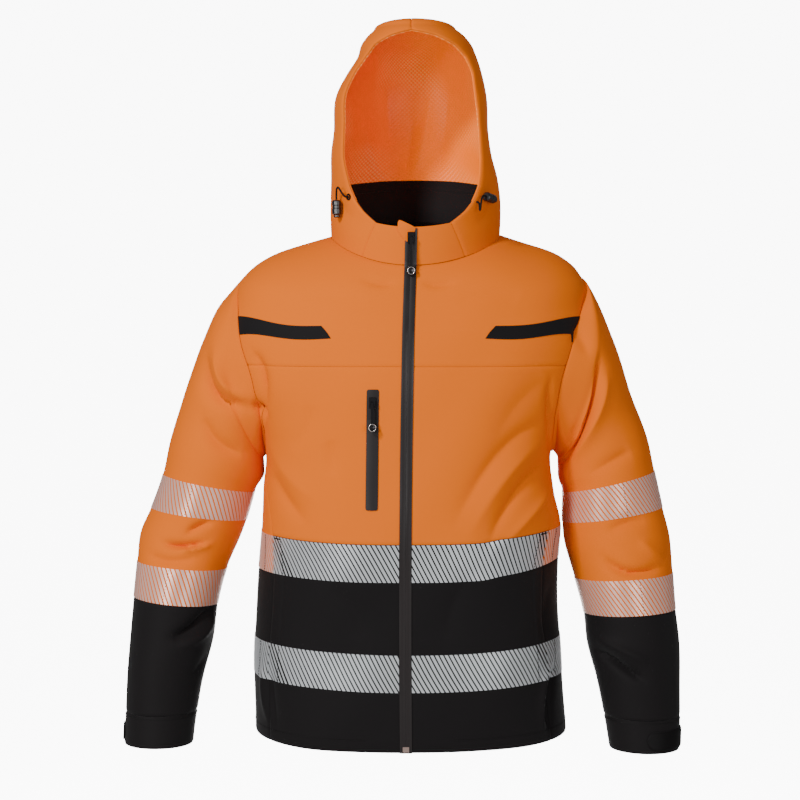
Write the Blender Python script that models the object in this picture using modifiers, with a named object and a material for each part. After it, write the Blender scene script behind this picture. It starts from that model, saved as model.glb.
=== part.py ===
"""Hi-vis work jacket, worn and hollow, with its hood up: orange softshell above, black below.

Metres, +Z up. The front faces -Y and the wearer's left arm is at +X. The origin is the middle of the
neck's base, where the garment hangs on the wearer.
"""

import math

import bmesh
import bpy
import numpy as np
from mathutils import Matrix, Vector

# Driving sizes
CLOTH = 0.0018          # the softshell's wall
LINING = 0.0012         # the hood's and the collar's lining
TAPE = 0.0009           # reflective tape, flashes and laminated film
SEAM = 0.0003           # the space between pieces
TAPE_WIDTH = 0.050

# Heights of the body's seams, at the side
HEM = -0.680
HEM_BAND = -0.600
WAIST_BAND = -0.457
WAIST_SEAM = WAIST_BAND + TAPE_WIDTH
UNDERARM = -0.296
SHOULDER = -0.054
NECK = 0.0

# How far the neck seam drops in front and rises at the back, and where both have faded out
NECK_DROP = 0.042
NECK_RISE = 0.020
NECK_FADE = -0.130
# How much higher the waist sits on the wearer's left hip
HIP_LIFT = 0.010
HIP_LIFT_SPREAD = 0.070
# The hem hangs a little lower in front and sits a little higher at the sides
HEM_DIP = 0.0030
HEM_SIDE_LIFT = 0.0050

# The body's level sections: half widths to the wearer's right and left of the middle, and how far
# they reach to the front and the back. A higher squareness gives flatter sides.
BODY_COLUMNS = ("height", "middle", "right", "left", "front", "back", "squareness")
BODY_SECTIONS = (
    (-0.700, 0.003, 0.214, 0.216, 0.139, 0.134, 2.5),
    (-0.660, 0.003, 0.214, 0.213, 0.140, 0.136, 2.5),
    (-0.590, 0.001, 0.212, 0.209, 0.141, 0.138, 2.5),
    (-0.530, 0.001, 0.209, 0.206, 0.141, 0.140, 2.5),
    (-0.457, 0.001, 0.206, 0.205, 0.142, 0.142, 2.5),
    (-0.400, 0.002, 0.203, 0.205, 0.143, 0.145, 2.5),
    (-0.345, 0.002, 0.199, 0.197, 0.144, 0.148, 2.5),
    (-0.300, 0.002, 0.195, 0.195, 0.145, 0.151, 2.5),
    (-0.245, 0.002, 0.212, 0.210, 0.144, 0.153, 2.5),
    (-0.200, 0.002, 0.236, 0.226, 0.142, 0.153, 2.5),
    (-0.150, 0.002, 0.254, 0.242, 0.137, 0.150, 2.4),
    (-0.100, 0.002, 0.243, 0.243, 0.129, 0.143, 2.3),
    (-0.054, 0.003, 0.223, 0.235, 0.121, 0.133, 2.2),
    (-0.036, 0.004, 0.202, 0.219, 0.116, 0.126, 2.1),
    (-0.020, 0.004, 0.172, 0.190, 0.111, 0.116, 2.0),
    (-0.009, 0.004, 0.141, 0.153, 0.107, 0.103, 2.0),
    (0.000, 0.004, 0.110, 0.120, 0.104, 0.090, 2.0),
)

# The collar's and the hood's level sections, above the neck seam
HOOD_COLUMNS = ("height", "middle", "right", "left", "front", "back", "shift", "squareness")
HOOD_SECTIONS = (
    (0.000, 0.004, 0.110, 0.120, 0.104, 0.090, 0.000, 2.0),
    (0.025, 0.004, 0.112, 0.121, 0.107, 0.092, 0.002, 2.0),
    (0.050, 0.004, 0.112, 0.121, 0.110, 0.099, 0.004, 2.0),
    (0.080, 0.004, 0.110, 0.118, 0.110, 0.108, 0.007, 2.3),
    (0.110, 0.004, 0.108, 0.111, 0.108, 0.116, 0.010, 2.7),
    (0.140, 0.004, 0.103, 0.107, 0.106, 0.121, 0.013, 2.9),
    (0.190, 0.004, 0.100, 0.103, 0.107, 0.123, 0.016, 2.8),
    (0.218, 0.004, 0.088, 0.096, 0.106, 0.118, 0.018, 2.6),
    (0.242, 0.004, 0.075, 0.088, 0.102, 0.106, 0.019, 2.4),
    (0.262, 0.004, 0.069, 0.079, 0.096, 0.087, 0.018, 2.2),
    (0.277, 0.004, 0.055, 0.064, 0.080, 0.064, 0.014, 2.0),
    (0.288, 0.004, 0.036, 0.041, 0.050, 0.038, 0.008, 2.0),
    (0.293, 0.004, 0.000, 0.000, 0.000, 0.000, 0.000, 2.0),
)
COLLAR_TOP = 0.050
CROWN = 0.293

# The face opening's edge: the angle from the front at each height of the hood
FACE_COLUMNS = ("height", "angle")
FACE_EDGE = (
    (0.050, 25.0),
    (0.053, 29.0),
    (0.058, 35.0),
    (0.066, 41.0),
    (0.080, 47.0),
    (0.110, 54.0),
    (0.140, 57.5),
    (0.190, 57.0),
    (0.218, 56.0),
    (0.238, 51.0),
    (0.252, 41.0),
    (0.264, 23.0),
    (0.271, 0.0),
)
COLLAR_SEAM_ANGLES = (36.0, 25.0)   # the collar front's outer seam, at the neck and at its top

# The zip's line leans a little: its offset from the middle at each height
ZIP_COLUMNS = ("height", "offset")
ZIP_LINE = (
    (-0.700, -0.003),
    (-0.560, -0.004),
    (-0.440, -0.004),
    (-0.300, -0.003),
    (-0.120, 0.000),
    (0.050, 0.004),
)
ZIP_WIDTH = 0.016

# Side seams: the angle between the seam and the side, at each height
SIDE_COLUMNS = ("height", "angle")
SIDE_SEAM = (
    (-0.700, 31.0),
    (-0.550, 31.0),
    (-0.420, 29.0),
    (-0.350, 17.0),
    (-0.296, 0.0),
)
ARMHOLE_FRONT = 31.0    # the armhole's widest angle from the side, in front and at the back
ARMHOLE_BACK = 27.0
ARMHOLE_FULLNESS = 0.75

# Sleeves: where each section's outer and inner edges lie, its middle and half depth,
# and how far its front and back bow outwards.
SLEEVE_COLUMNS = ("outer_x", "outer_z", "inner_x", "inner_z", "middle_y", "depth", "bow")
RIGHT_SLEEVE = (
    (-0.2385, -0.073, -0.2000, -0.303, 0.002, 0.077, 0.018),
    (-0.262, -0.100, -0.2000, -0.309, 0.004, 0.078, 0.015),
    (-0.281, -0.143, -0.2000, -0.315, 0.006, 0.077, 0.011),
    (-0.295, -0.184, -0.2000, -0.321, 0.008, 0.075, 0.007),
    (-0.311, -0.232, -0.2010, -0.329, 0.009, 0.072, 0.003),
    (-0.328, -0.282, -0.2070, -0.338, 0.008, 0.070, 0.000),
    (-0.338, -0.326, -0.2130, -0.350, 0.007, 0.068, 0.000),
    (-0.353, -0.372, -0.2220, -0.389, 0.004, 0.067, 0.000),
    (-0.366, -0.406, -0.2310, -0.418, 0.000, 0.066, 0.000),
    (-0.370, -0.444, -0.2460, -0.455, -0.006, 0.066, 0.000),
    (-0.375, -0.492, -0.2605, -0.503, -0.014, 0.063, 0.000),
    (-0.379, -0.540, -0.2680, -0.549, -0.024, 0.060, 0.000),
    (-0.382, -0.590, -0.2785, -0.596, -0.036, 0.056, 0.000),
    (-0.383, -0.643, -0.2840, -0.643, -0.048, 0.052, 0.000),
    (-0.384, -0.685, -0.2895, -0.685, -0.058, 0.049, 0.000),
)
LEFT_SLEEVE = (
    (0.247, -0.064, 0.2025, -0.303, 0.002, 0.077, 0.018),
    (0.263, -0.097, 0.2030, -0.309, 0.004, 0.078, 0.015),
    (0.278, -0.136, 0.2035, -0.315, 0.006, 0.077, 0.011),
    (0.295, -0.180, 0.2040, -0.321, 0.008, 0.075, 0.007),
    (0.310, -0.226, 0.2045, -0.329, 0.009, 0.072, 0.003),
    (0.328, -0.277, 0.2070, -0.338, 0.008, 0.070, 0.000),
    (0.338, -0.322, 0.2120, -0.351, 0.007, 0.069, 0.000),
    (0.350, -0.371, 0.2140, -0.392, 0.004, 0.069, 0.000),
    (0.361, -0.412, 0.2170, -0.424, 0.000, 0.069, 0.000),
    (0.364, -0.460, 0.2280, -0.468, -0.006, 0.067, 0.000),
    (0.365, -0.509, 0.2410, -0.515, -0.014, 0.064, 0.000),
    (0.368, -0.553, 0.2450, -0.556, -0.024, 0.060, 0.000),
    (0.369, -0.600, 0.2560, -0.602, -0.036, 0.056, 0.000),
    (0.370, -0.649, 0.2650, -0.649, -0.048, 0.052, 0.000),
    (0.368, -0.692, 0.2720, -0.692, -0.058, 0.049, 0.000),
)
# Stations along a sleeve, counted from the armhole as 0
ELBOW_BAND = (7, 8)
WRIST_BAND = (10, 11)
FOREARM_START = 11
CUFF_START = 14
CUFF_END = 15

# The largest folds: a trough where the depth is negative, a ridge where it is positive. Each runs
# between two points of the front view, on the side that faces the front (-1) or the back (1).
FOLD_COLUMNS = ("side", "x1", "z1", "x2", "z2", "breadth", "depth")
FOLDS = (
    (-1, -0.262, -0.150, -0.222, -0.222, 0.013, -0.0050),
    (-1, -0.272, -0.240, -0.232, -0.282, 0.013, -0.0045),
    (-1, -0.240, -0.125, -0.226, -0.205, 0.012, 0.0035),
    (-1, -0.345, -0.416, -0.250, -0.398, 0.011, -0.0050),
    (-1, -0.335, -0.432, -0.262, -0.424, 0.011, 0.0030),
    (-1, -0.322, -0.528, -0.268, -0.552, 0.013, -0.0040),
    (-1, 0.255, -0.168, 0.222, -0.292, 0.013, -0.0050),
    (-1, 0.226, -0.120, 0.232, -0.190, 0.012, 0.0035),
    (-1, 0.345, -0.425, 0.235, -0.436, 0.012, -0.0045),
    (-1, 0.252, -0.560, 0.318, -0.590, 0.013, -0.0045),
    (-1, 0.180, -0.258, 0.070, -0.370, 0.018, -0.0035),
    (-1, 0.190, -0.310, 0.118, -0.402, 0.016, -0.0040),
    (-1, 0.165, -0.235, 0.100, -0.310, 0.020, 0.0030),
    (-1, -0.170, -0.262, -0.100, -0.360, 0.020, -0.0030),
    (-1, -0.180, -0.330, -0.140, -0.400, 0.018, -0.0025),
    (-1, 0.188, -0.480, 0.150, -0.545, 0.018, -0.0030),
    (-1, -0.190, -0.490, -0.150, -0.540, 0.018, -0.0025),
    (1, 0.170, -0.250, 0.060, -0.360, 0.020, -0.0040),
    (1, -0.172, -0.245, -0.070, -0.340, 0.020, -0.0040),
    (1, 0.150, -0.350, -0.040, -0.400, 0.022, -0.0035),
    (1, -0.160, -0.370, 0.010, -0.432, 0.020, 0.0030),
    (1, 0.345, -0.415, 0.235, -0.428, 0.013, -0.0050),
    (1, -0.345, -0.410, -0.245, -0.425, 0.013, -0.0050),
    (1, 0.290, -0.190, 0.235, -0.280, 0.014, -0.0040),
    (1, -0.290, -0.200, -0.238, -0.285, 0.014, -0.0040),
)

# Colours, with roughness and metallic value
ORANGE = ("orange_softshell", (0.95, 0.24, 0.02), 0.75, 0.0)
BLACK = ("black_softshell", (0.012, 0.010, 0.011), 0.80, 0.0)
SILVER = ("reflective_tape", (0.52, 0.54, 0.56), 0.45, 0.3)
FILM = ("laminated_film", (0.050, 0.034, 0.034), 0.40, 0.0)
METAL = ("dark_metal", (0.06, 0.06, 0.065), 0.30, 1.0)
CORD = ("cord", (0.015, 0.015, 0.015), 0.80, 0.0)


def clear_scene():
    for thing in list(bpy.data.objects):
        bpy.data.objects.remove(thing, do_unlink=True)


def new_collection(name):
    made = bpy.data.collections.new(name)
    bpy.context.scene.collection.children.link(made)
    return made


clear_scene()
JACKET = new_collection("hi_vis_work_jacket")
CUTTERS = new_collection("cutters")


def material(finish):
    """One Principled material for each finish, made once."""
    name, colour, roughness, metallic = finish
    made = bpy.data.materials.get(name)
    if made is None:
        made = bpy.data.materials.new(name)
        made.use_nodes = True
        shader = made.node_tree.nodes["Principled BSDF"]
        shader.inputs["Base Color"].default_value = (*colour, 1.0)
        shader.inputs["Roughness"].default_value = roughness
        shader.inputs["Metallic"].default_value = metallic
    return made


def column(table, names, name):
    return np.array([row[names.index(name)] for row in table])


def smooth_between(stations, values, where):
    """Values at the places asked for, on a smooth curve through the stations."""
    slopes = np.gradient(values, stations, axis=0)
    first = np.clip(np.searchsorted(stations, where, side="right") - 1, 0, len(stations) - 2)
    gap = stations[first + 1] - stations[first]
    part = np.clip((where - stations[first]) / gap, 0.0, 1.0)
    if values.ndim > 1:
        place = np.arange(len(part))
        start, end = values[first, place], values[first + 1, place]
        leave, arrive = slopes[first, place], slopes[first + 1, place]
        part, gap = part[:, None], gap[:, None]
    else:
        start, end = values[first], values[first + 1]
        leave, arrive = slopes[first], slopes[first + 1]
    square, cube = part**2, part**3
    return (
        (2 * cube - 3 * square + 1) * start
        + (cube - 2 * square + part) * gap * leave
        + (3 * square - 2 * cube) * end
        + (cube - square) * gap * arrive
    )


def profile(table, names, name, height):
    return smooth_between(column(table, names, "height"), column(table, names, name), height)


def body(around, height):
    """A point of the body: degrees from the front towards the wearer's left, and a height."""
    turn = np.radians(around)
    sine, cosine = np.sin(turn), np.cos(turn)
    middle, right, left, front, back, squareness = (
        profile(BODY_SECTIONS, BODY_COLUMNS, name, height) for name in BODY_COLUMNS[1:]
    )
    power = 2.0 / squareness
    side = np.where(sine > 0, left, right)
    reach = np.where(cosine > 0, front, back)
    x = middle + np.sign(sine) * side * np.abs(sine) ** power
    y = -np.sign(cosine) * reach * np.abs(cosine) ** power
    fade = np.clip(1.0 - height / NECK_FADE, 0.0, 1.0)
    drop = NECK_DROP * np.clip(cosine, 0.0, 1.0) ** 1.5
    rise = NECK_RISE * np.clip(-cosine, 0.0, 1.0) ** 1.5
    near_waist = np.exp(-(((height - WAIST_BAND) / HIP_LIFT_SPREAD) ** 2))
    lift = HIP_LIFT * near_waist * np.clip(sine, 0.0, 1.0) ** 3
    near_hem = np.clip((HEM_BAND - height) / (HEM_BAND - HEM), 0.0, 1.0)
    lift += near_hem * (HEM_SIDE_LIFT * sine**4 - HEM_DIP * np.clip(cosine, 0.0, 1.0) ** 2)
    return np.stack([x, y, height + fade * (rise - drop) + lift], axis=-1)


def hood(around, height):
    """A point of the collar and the hood above the neck seam."""
    turn = np.radians(around)
    sine, cosine = np.sin(turn), np.cos(turn)
    middle, right, left, front, back, shift, squareness = (
        np.maximum(profile(HOOD_SECTIONS, HOOD_COLUMNS, name, height), 0.0)
        for name in HOOD_COLUMNS[1:]
    )
    power = np.where(cosine > 0, 2.0 / squareness, 1.0)
    x = middle + np.where(sine > 0, left, right) * np.sign(sine) * np.abs(sine) ** power
    y = shift - np.where(cosine > 0, front, back) * np.sign(cosine) * np.abs(cosine) ** power
    fade = np.clip(1.0 - (height - COLLAR_TOP) / 0.10, 0.0, 1.0)
    drop = NECK_DROP * np.clip(cosine, 0.0, 1.0) ** 1.5
    rise = NECK_RISE * np.clip(-cosine, 0.0, 1.0) ** 1.5 * np.clip(1.0 - height / 0.20, 0.0, 1.0)
    return np.stack([x, y, height + rise - fade * drop], axis=-1)


def armhole(side, around):
    """Where the armhole runs on the body: 0 degrees at the shoulder, 90 in front, 180 under the arm."""
    turn = np.radians(around)
    share = (1.0 + np.cos(turn)) / 2.0
    widest = np.where(np.sin(turn) > 0, ARMHOLE_FRONT, -ARMHOLE_BACK)
    from_side = widest * np.clip(np.sin(np.pi * share), 0.0, 1.0) ** ARMHOLE_FULLNESS
    return side * (90.0 - from_side), UNDERARM + share * (SHOULDER - UNDERARM)


def sleeve(side, around, station):
    """A point of a sleeve: degrees round from its outer edge over the front, and its station."""
    table = LEFT_SLEEVE if side > 0 else RIGHT_SLEEVE
    turn = np.radians(around)
    rings = [body(*armhole(side, around))]
    for outer_x, outer_z, inner_x, inner_z, middle_y, depth, bow in table:
        outwards, forwards = np.cos(turn), np.sin(turn)
        x = (outer_x + inner_x) / 2 + outwards * (outer_x - inner_x) / 2 + side * bow * forwards**2
        z = (outer_z + inner_z) / 2 + outwards * (outer_z - inner_z) / 2
        rings.append(np.stack([x, middle_y - depth * forwards, z], axis=-1))
    return smooth_between(np.arange(len(rings), dtype=float), np.array(rings), station)


def right_sleeve(around, station):
    return sleeve(-1, around, station)


def left_sleeve(around, station):
    return sleeve(1, around, station)


STEPS = {body: (0.5, 0.001), hood: (0.5, 0.001), right_sleeve: (0.5, 0.05), left_sleeve: (0.5, 0.05)}


def outward(surface, across, along):
    """Unit normals of a surface, pointing away from the garment's inside."""
    step_across, step_along = STEPS[surface]
    one = surface(across + step_across, along) - surface(across - step_across, along)
    other = surface(across, along + step_along) - surface(across, along - step_along)
    normal = np.cross(one, other)
    if surface is hood:
        flat = np.linalg.norm(normal, axis=-1) < 1e-9
        normal[flat] = (0.0, 0.0, 1.0)
    if surface is right_sleeve:
        normal = -normal
    return normal / np.linalg.norm(normal, axis=-1, keepdims=True)


def fold_heights(points, normals):
    """How far the largest folds move each point out along its normal."""
    moved = np.zeros(len(points))
    for side, x1, z1, x2, z2, breadth, depth in FOLDS:
        start = np.array([x1, z1])
        run = np.array([x2, z2]) - start
        flat = points[:, [0, 2]] - start
        share = np.clip(flat @ run / (run @ run), 0.0, 1.0)
        away = np.linalg.norm(flat - share[:, None] * run, axis=1)
        facing = np.clip(side * normals[:, 1] * 1.4, 0.0, 1.0)
        moved += facing * depth * np.exp(-((away / breadth) ** 2))
    return moved


def surface_points(surface, across, along, lift=0.0):
    """Points of a surface with its folds, moved out by lift, and the normals there."""
    shape = across.shape
    across, along = across.ravel(), along.ravel()
    points = surface(across, along)
    normals = outward(surface, across, along)
    out = lift + (0.0 if surface is hood else fold_heights(points, normals))
    points = points + normals * np.reshape(out, (-1, 1))
    return points.reshape(*shape, 3), normals.reshape(*shape, 3)


def add_object(name, mesh, finish, flat=False):
    """A named part from a mesh, with its material and smooth or flat shading."""
    made = bpy.data.objects.new(name, mesh)
    JACKET.objects.link(made)
    mesh.materials.append(material(finish))
    if not flat:
        mesh.shade_smooth()
        mesh.set_sharp_from_angle(angle=math.radians(40))
    return made


def cloth_wall(name, grid, finish, thickness, left_out=None):
    """A closed wall of even thickness on a grid of points and normals.

    Equal points are joined, and cells that are left out stay open.
    """
    points, normals = grid
    rows, columns = points.shape[:2]
    places, directions, numbers = [], [], {}
    index = np.empty((rows, columns), int)
    for row in range(rows):
        for place in range(columns):
            key = tuple(np.round(points[row, place], 6) + 0.0)
            if key not in numbers:
                numbers[key] = len(places)
                places.append(points[row, place])
                directions.append(normals[row, place])
            index[row, place] = numbers[key]
    faces = []
    for row in range(rows - 1):
        for place in range(columns - 1):
            if left_out is not None and left_out[row, place]:
                continue
            a, b = index[row, place], index[row, place + 1]
            c, d = index[row + 1, place + 1], index[row + 1, place]
            for corner in ((a, b, c), (a, c, d)):
                if len(set(corner)) == 3:
                    faces.append(corner)
    inside = len(places)
    inner = [place - thickness * way for place, way in zip(places, directions)]
    edges = {}
    for corner in faces:
        for start, end in zip(corner, corner[1:] + corner[:1]):
            edges[(start, end)] = True
    rims = [edge for edge in edges if (edge[1], edge[0]) not in edges]
    everything = list(faces)
    everything += [(c + inside, b + inside, a + inside) for a, b, c in faces]
    for start, end in rims:
        everything.append((end, start, start + inside))
        everything.append((end, start + inside, end + inside))
    mesh = bpy.data.meshes.new(name)
    mesh.from_pydata([tuple(p) for p in places + inner], [], everything)
    shape = bmesh.new()
    shape.from_mesh(mesh)
    bmesh.ops.recalc_face_normals(shape, faces=shape.faces)
    if shape.calc_volume(signed=True) < 0:
        bmesh.ops.reverse_faces(shape, faces=shape.faces)
    shape.to_mesh(mesh)
    shape.free()
    return add_object(name, mesh, finish)


def spread(heights, most):
    """Heights with extra ones between, so that no two lie further apart than most."""
    found = [heights[0]]
    for start, end in zip(heights, heights[1:]):
        count = max(1, math.ceil(abs(end - start) / most - 1e-6))
        found += [start + (end - start) * step / count for step in range(1, count + 1)]
    return np.array(found)


def panel_grid(surface, rows, first, last, columns, lift=0.0):
    """A grid between two edges, which are angles for each row."""
    share = np.linspace(0.0, 1.0, columns + 1)
    across = first[:, None] + (last - first)[:, None] * share[None, :]
    along = np.repeat(rows[:, None], columns + 1, axis=1)
    return surface_points(surface, across, along, lift)


def zip_angle(surface, heights, offset=0.0):
    """The angle from the front where the zip's line crosses each height, plus an offset across."""
    x = smooth_between(
        column(ZIP_LINE, ZIP_COLUMNS, "height"), column(ZIP_LINE, ZIP_COLUMNS, "offset"), heights
    ) + offset
    table, names = (HOOD_SECTIONS, HOOD_COLUMNS) if surface is hood else (BODY_SECTIONS, BODY_COLUMNS)
    away = x - profile(table, names, "middle", heights)
    side = np.where(away > 0, profile(table, names, "left", heights), profile(table, names, "right", heights))
    power = 1.0 if surface is hood else profile(table, names, "squareness", heights) / 2.0
    return np.degrees(np.arcsin(np.sign(away) * (np.abs(away) / side) ** power))


def side_angle(heights):
    """The front panels' outer edge: the side seam, the armhole, or the shoulder seam."""
    seam = smooth_between(
        column(SIDE_SEAM, SIDE_COLUMNS, "height"), column(SIDE_SEAM, SIDE_COLUMNS, "angle"), heights
    )
    share = np.clip((heights - UNDERARM) / (SHOULDER - UNDERARM), 0.0, 1.0)
    open_angle = ARMHOLE_FRONT * np.sin(np.pi * share) ** ARMHOLE_FULLNESS
    return 90.0 - np.where(heights < UNDERARM, np.clip(seam, 0.0, 90.0), open_angle)


def back_angle(heights):
    """The back panels' outer edge, at the same heights."""
    share = np.clip((heights - UNDERARM) / (SHOULDER - UNDERARM), 0.0, 1.0)
    open_angle = ARMHOLE_BACK * np.sin(np.pi * share) ** ARMHOLE_FULLNESS
    return np.where(heights < UNDERARM, side_angle(heights), 90.0 + open_angle)


def metric(surface, heights, angle, length):
    """The angle that spans a length across the surface at each height."""
    step = np.linalg.norm(surface(angle + 0.5, heights) - surface(angle - 0.5, heights), axis=-1)
    return length / np.maximum(step, 1e-6)


# Rows of the body: every seam and tape edge, and the armhole's turn at the sleeve's own columns
SLEEVE_AROUND = 20
TURNS = np.radians(np.linspace(180.0, 0.0, SLEEVE_AROUND // 2 + 1))
ARMHOLE_ROWS = UNDERARM + (1.0 + np.cos(TURNS)) / 2.0 * (SHOULDER - UNDERARM)
YOKE_AT = 5             # the armhole row that carries the yoke's seam
SKIRT_ROWS = spread([HEM, HEM_BAND, HEM_BAND + TAPE_WIDTH, WAIST_BAND, WAIST_SEAM], 0.031)
BACK_SKIRT_ROWS = spread([HEM, HEM_BAND, HEM_BAND + TAPE_WIDTH, WAIST_BAND], 0.031)
LOWER_CHEST = [WAIST_SEAM, -0.345, UNDERARM]
CHEST_ROWS = np.append(spread(LOWER_CHEST, 0.028)[:-1], ARMHOLE_ROWS[: YOKE_AT + 1])
BACK_ROWS = np.append(spread([WAIST_BAND] + LOWER_CHEST, 0.028)[:-1], ARMHOLE_ROWS[: YOKE_AT + 1])
YOKE_ROWS = np.append(ARMHOLE_ROWS[YOKE_AT:], [-0.036, -0.020, -0.009, NECK])
FRONT_COLUMNS = 9
BACK_COLUMNS = 20


def inset(rows):
    """The same rows with the first and last moved in by half a seam's space."""
    moved = rows.copy()
    moved[0] += SEAM / 2
    moved[-1] -= SEAM / 2
    return moved


def front_angles(side, rows):
    """The front's edges: beside the zip's line, and at the side seam, armhole or shoulder seam."""
    outer = side_angle(rows)
    outer = side * (outer - metric(body, rows, side * outer, SEAM / 2))
    return zip_angle(body, rows, side * SEAM / 2), outer


def front_panel(side, rows, lift=0.0, start=None):
    """A front between its edges. Tape on it may start further from the zip's line."""
    inner, outer = front_angles(side, rows)
    share = np.linspace(0.0, 1.0, FRONT_COLUMNS + 1)
    across = inner[:, None] + (outer - inner)[:, None] * share[None, :]
    if start is not None:
        across[:, 0] = zip_angle(body, rows, side * start)
    along = np.repeat(rows[:, None], FRONT_COLUMNS + 1, axis=1)
    return surface_points(body, across, along, lift)


def back_grid(rows, lift=0.0):
    edge = back_angle(rows)
    left = edge + metric(body, rows, edge, SEAM / 2)
    right = 360.0 - edge - metric(body, rows, -edge, SEAM / 2)
    return panel_grid(body, rows, left, right, BACK_COLUMNS, lift)


SIDES = (("right", -1), ("left", 1))


def body_panels():
    """Fronts and backs, with a space along every seam."""
    for side, sign in SIDES:
        cloth_wall(f"front_skirt_{side}", front_panel(sign, inset(SKIRT_ROWS)), BLACK, CLOTH)
        cloth_wall(f"front_chest_{side}", front_panel(sign, inset(CHEST_ROWS)), ORANGE, CLOTH)
        cloth_wall(f"front_yoke_{side}", front_panel(sign, inset(YOKE_ROWS)), ORANGE, CLOTH)
    cloth_wall("back_skirt", back_grid(inset(BACK_SKIRT_ROWS)), BLACK, CLOTH)
    cloth_wall("back_panel", back_grid(inset(BACK_ROWS)), ORANGE, CLOTH)
    cloth_wall("back_yoke", back_grid(inset(YOKE_ROWS)), ORANGE, CLOTH)


def within(rows, low):
    """The rows of a panel that a tape covers."""
    rows = inset(rows)
    return rows[(rows > low - 1e-3) & (rows < low + TAPE_WIDTH + 1e-3)]


def body_tapes():
    """Reflective tape on the panels' own points, moved out."""
    lift = TAPE + SEAM
    beside_zip = ZIP_WIDTH / 2 + SEAM
    bands = (("waist", WAIST_BAND, SKIRT_ROWS, BACK_ROWS), ("hem", HEM_BAND, SKIRT_ROWS, BACK_SKIRT_ROWS))
    for band, low, front_rows, back_rows in bands:
        for side, sign in SIDES:
            grid = front_panel(sign, within(front_rows, low), lift, beside_zip)
            cloth_wall(f"{band}_band_front_{side}", grid, SILVER, TAPE)
        cloth_wall(f"{band}_band_back", back_grid(within(back_rows, low), lift), SILVER, TAPE)


# The share of a station that gives half a seam's space
STATION_GAP = 0.005


def sleeve_grid(surface, stations, lift=0.0):
    around = np.linspace(0.0, 360.0, SLEEVE_AROUND + 1)
    along = np.repeat(stations[:, None], SLEEVE_AROUND + 1, axis=1)
    across = np.repeat(around[None, :], len(stations), axis=0)
    points, normals = surface_points(surface, across, along, lift)
    if stations[0] == 0.0:
        side = 1 if surface is left_sleeve else -1
        seam, seam_normals = surface_points(body, *armhole(side, around), lift)
        away = surface(around, np.full(len(around), 0.1)) - surface(around, np.zeros(len(around)))
        points[0] = seam + away / np.linalg.norm(away, axis=-1, keepdims=True) * 2 * SEAM
        both = normals[0] + seam_normals
        normals[0] = both / np.linalg.norm(both, axis=-1, keepdims=True)
    points[:, -1] = points[:, 0]
    normals[:, -1] = normals[:, 0]
    return points, normals


def sleeves():
    """Sleeves from armhole to cuff, each a tube in three lengths, with two tapes round it."""
    for side, surface in (("right", right_sleeve), ("left", left_sleeve)):
        upper = np.array([0.0, 0.5, 1, 2, 3, 4, 5, 6, 7, 7.5, 8, 8.5, 9, 9.5, 10, 10.5, 11])
        upper[-1] -= STATION_GAP
        cloth_wall(f"sleeve_{side}", sleeve_grid(surface, upper), ORANGE, CLOTH)
        lower = np.array([FOREARM_START + STATION_GAP, 11.5, 12, 12.5, 13, CUFF_START - STATION_GAP])
        cloth_wall(f"forearm_{side}", sleeve_grid(surface, lower), BLACK, CLOTH)
        cuff = np.array([CUFF_START + STATION_GAP, 14.5, CUFF_END])
        cloth_wall(f"cuff_{side}", sleeve_grid(surface, cuff), BLACK, CLOTH)
        elbow = np.array([ELBOW_BAND[0], 7.5, ELBOW_BAND[1]], float)
        cloth_wall(f"elbow_band_{side}", sleeve_grid(surface, elbow, TAPE + SEAM), SILVER, TAPE)
        wrist = np.array([WRIST_BAND[0], 10.5, WRIST_BAND[1] - STATION_GAP])
        cloth_wall(f"wrist_band_{side}", sleeve_grid(surface, wrist, TAPE + SEAM), SILVER, TAPE)


HOOD_ROWS = np.array(
    [0.0, 0.025, COLLAR_TOP, 0.053, 0.058, 0.066, 0.080, 0.110, 0.140, 0.165, 0.190, 0.218, 0.238]
    + [0.252, 0.264, 0.271, 0.279, 0.287, CROWN]
)
HOOD_AROUND = 10
COLLAR_FRONT_COLUMNS = 3
LINING_START = 0.066
HOOD_MIDDLE = HOOD_SECTIONS[0][HOOD_COLUMNS.index("middle")]


def face_angle(heights):
    """The hood's front edge: the collar's seam below, the face opening above."""
    seam = COLLAR_SEAM_ANGLES[0] + heights / COLLAR_TOP * (COLLAR_SEAM_ANGLES[1] - COLLAR_SEAM_ANGLES[0])
    stations = column(FACE_EDGE, FACE_COLUMNS, "height")
    edge = np.interp(heights, stations, column(FACE_EDGE, FACE_COLUMNS, "angle"))
    return np.where(heights < COLLAR_TOP, seam, edge)


def hood_half(sign, rows, lift, space):
    """One half of the hood. Its columns run from the right to the left, over the back seam."""
    edge = sign * face_angle(rows)
    first = np.where(rows <= COLLAR_TOP, edge + sign * metric(hood, rows, edge, space), edge)
    last = np.full(len(rows), sign * 180.0)
    points, normals = panel_grid(hood, rows, first, last, HOOD_AROUND, lift)
    half = sign * (points[..., 0] - HOOD_MIDDLE)
    points[..., 0] = HOOD_MIDDLE + sign * np.maximum(half, space)
    normals[half < SEAM, 0] = 0.0
    normals /= np.linalg.norm(normals, axis=-1, keepdims=True)
    return points[:, ::-sign], normals[:, ::-sign]


def collar_front(sign, rows, lift, space):
    """The collar between the zip and the hood's seam, in the same order."""
    outer = sign * face_angle(np.minimum(rows, COLLAR_TOP - 1e-6))
    outer = outer - sign * metric(hood, rows, outer, space)
    inner = zip_angle(hood, rows, sign * space)
    points, normals = panel_grid(hood, rows, inner, outer, COLLAR_FRONT_COLUMNS, lift)
    return points[:, ::-sign], normals[:, ::-sign]


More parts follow.
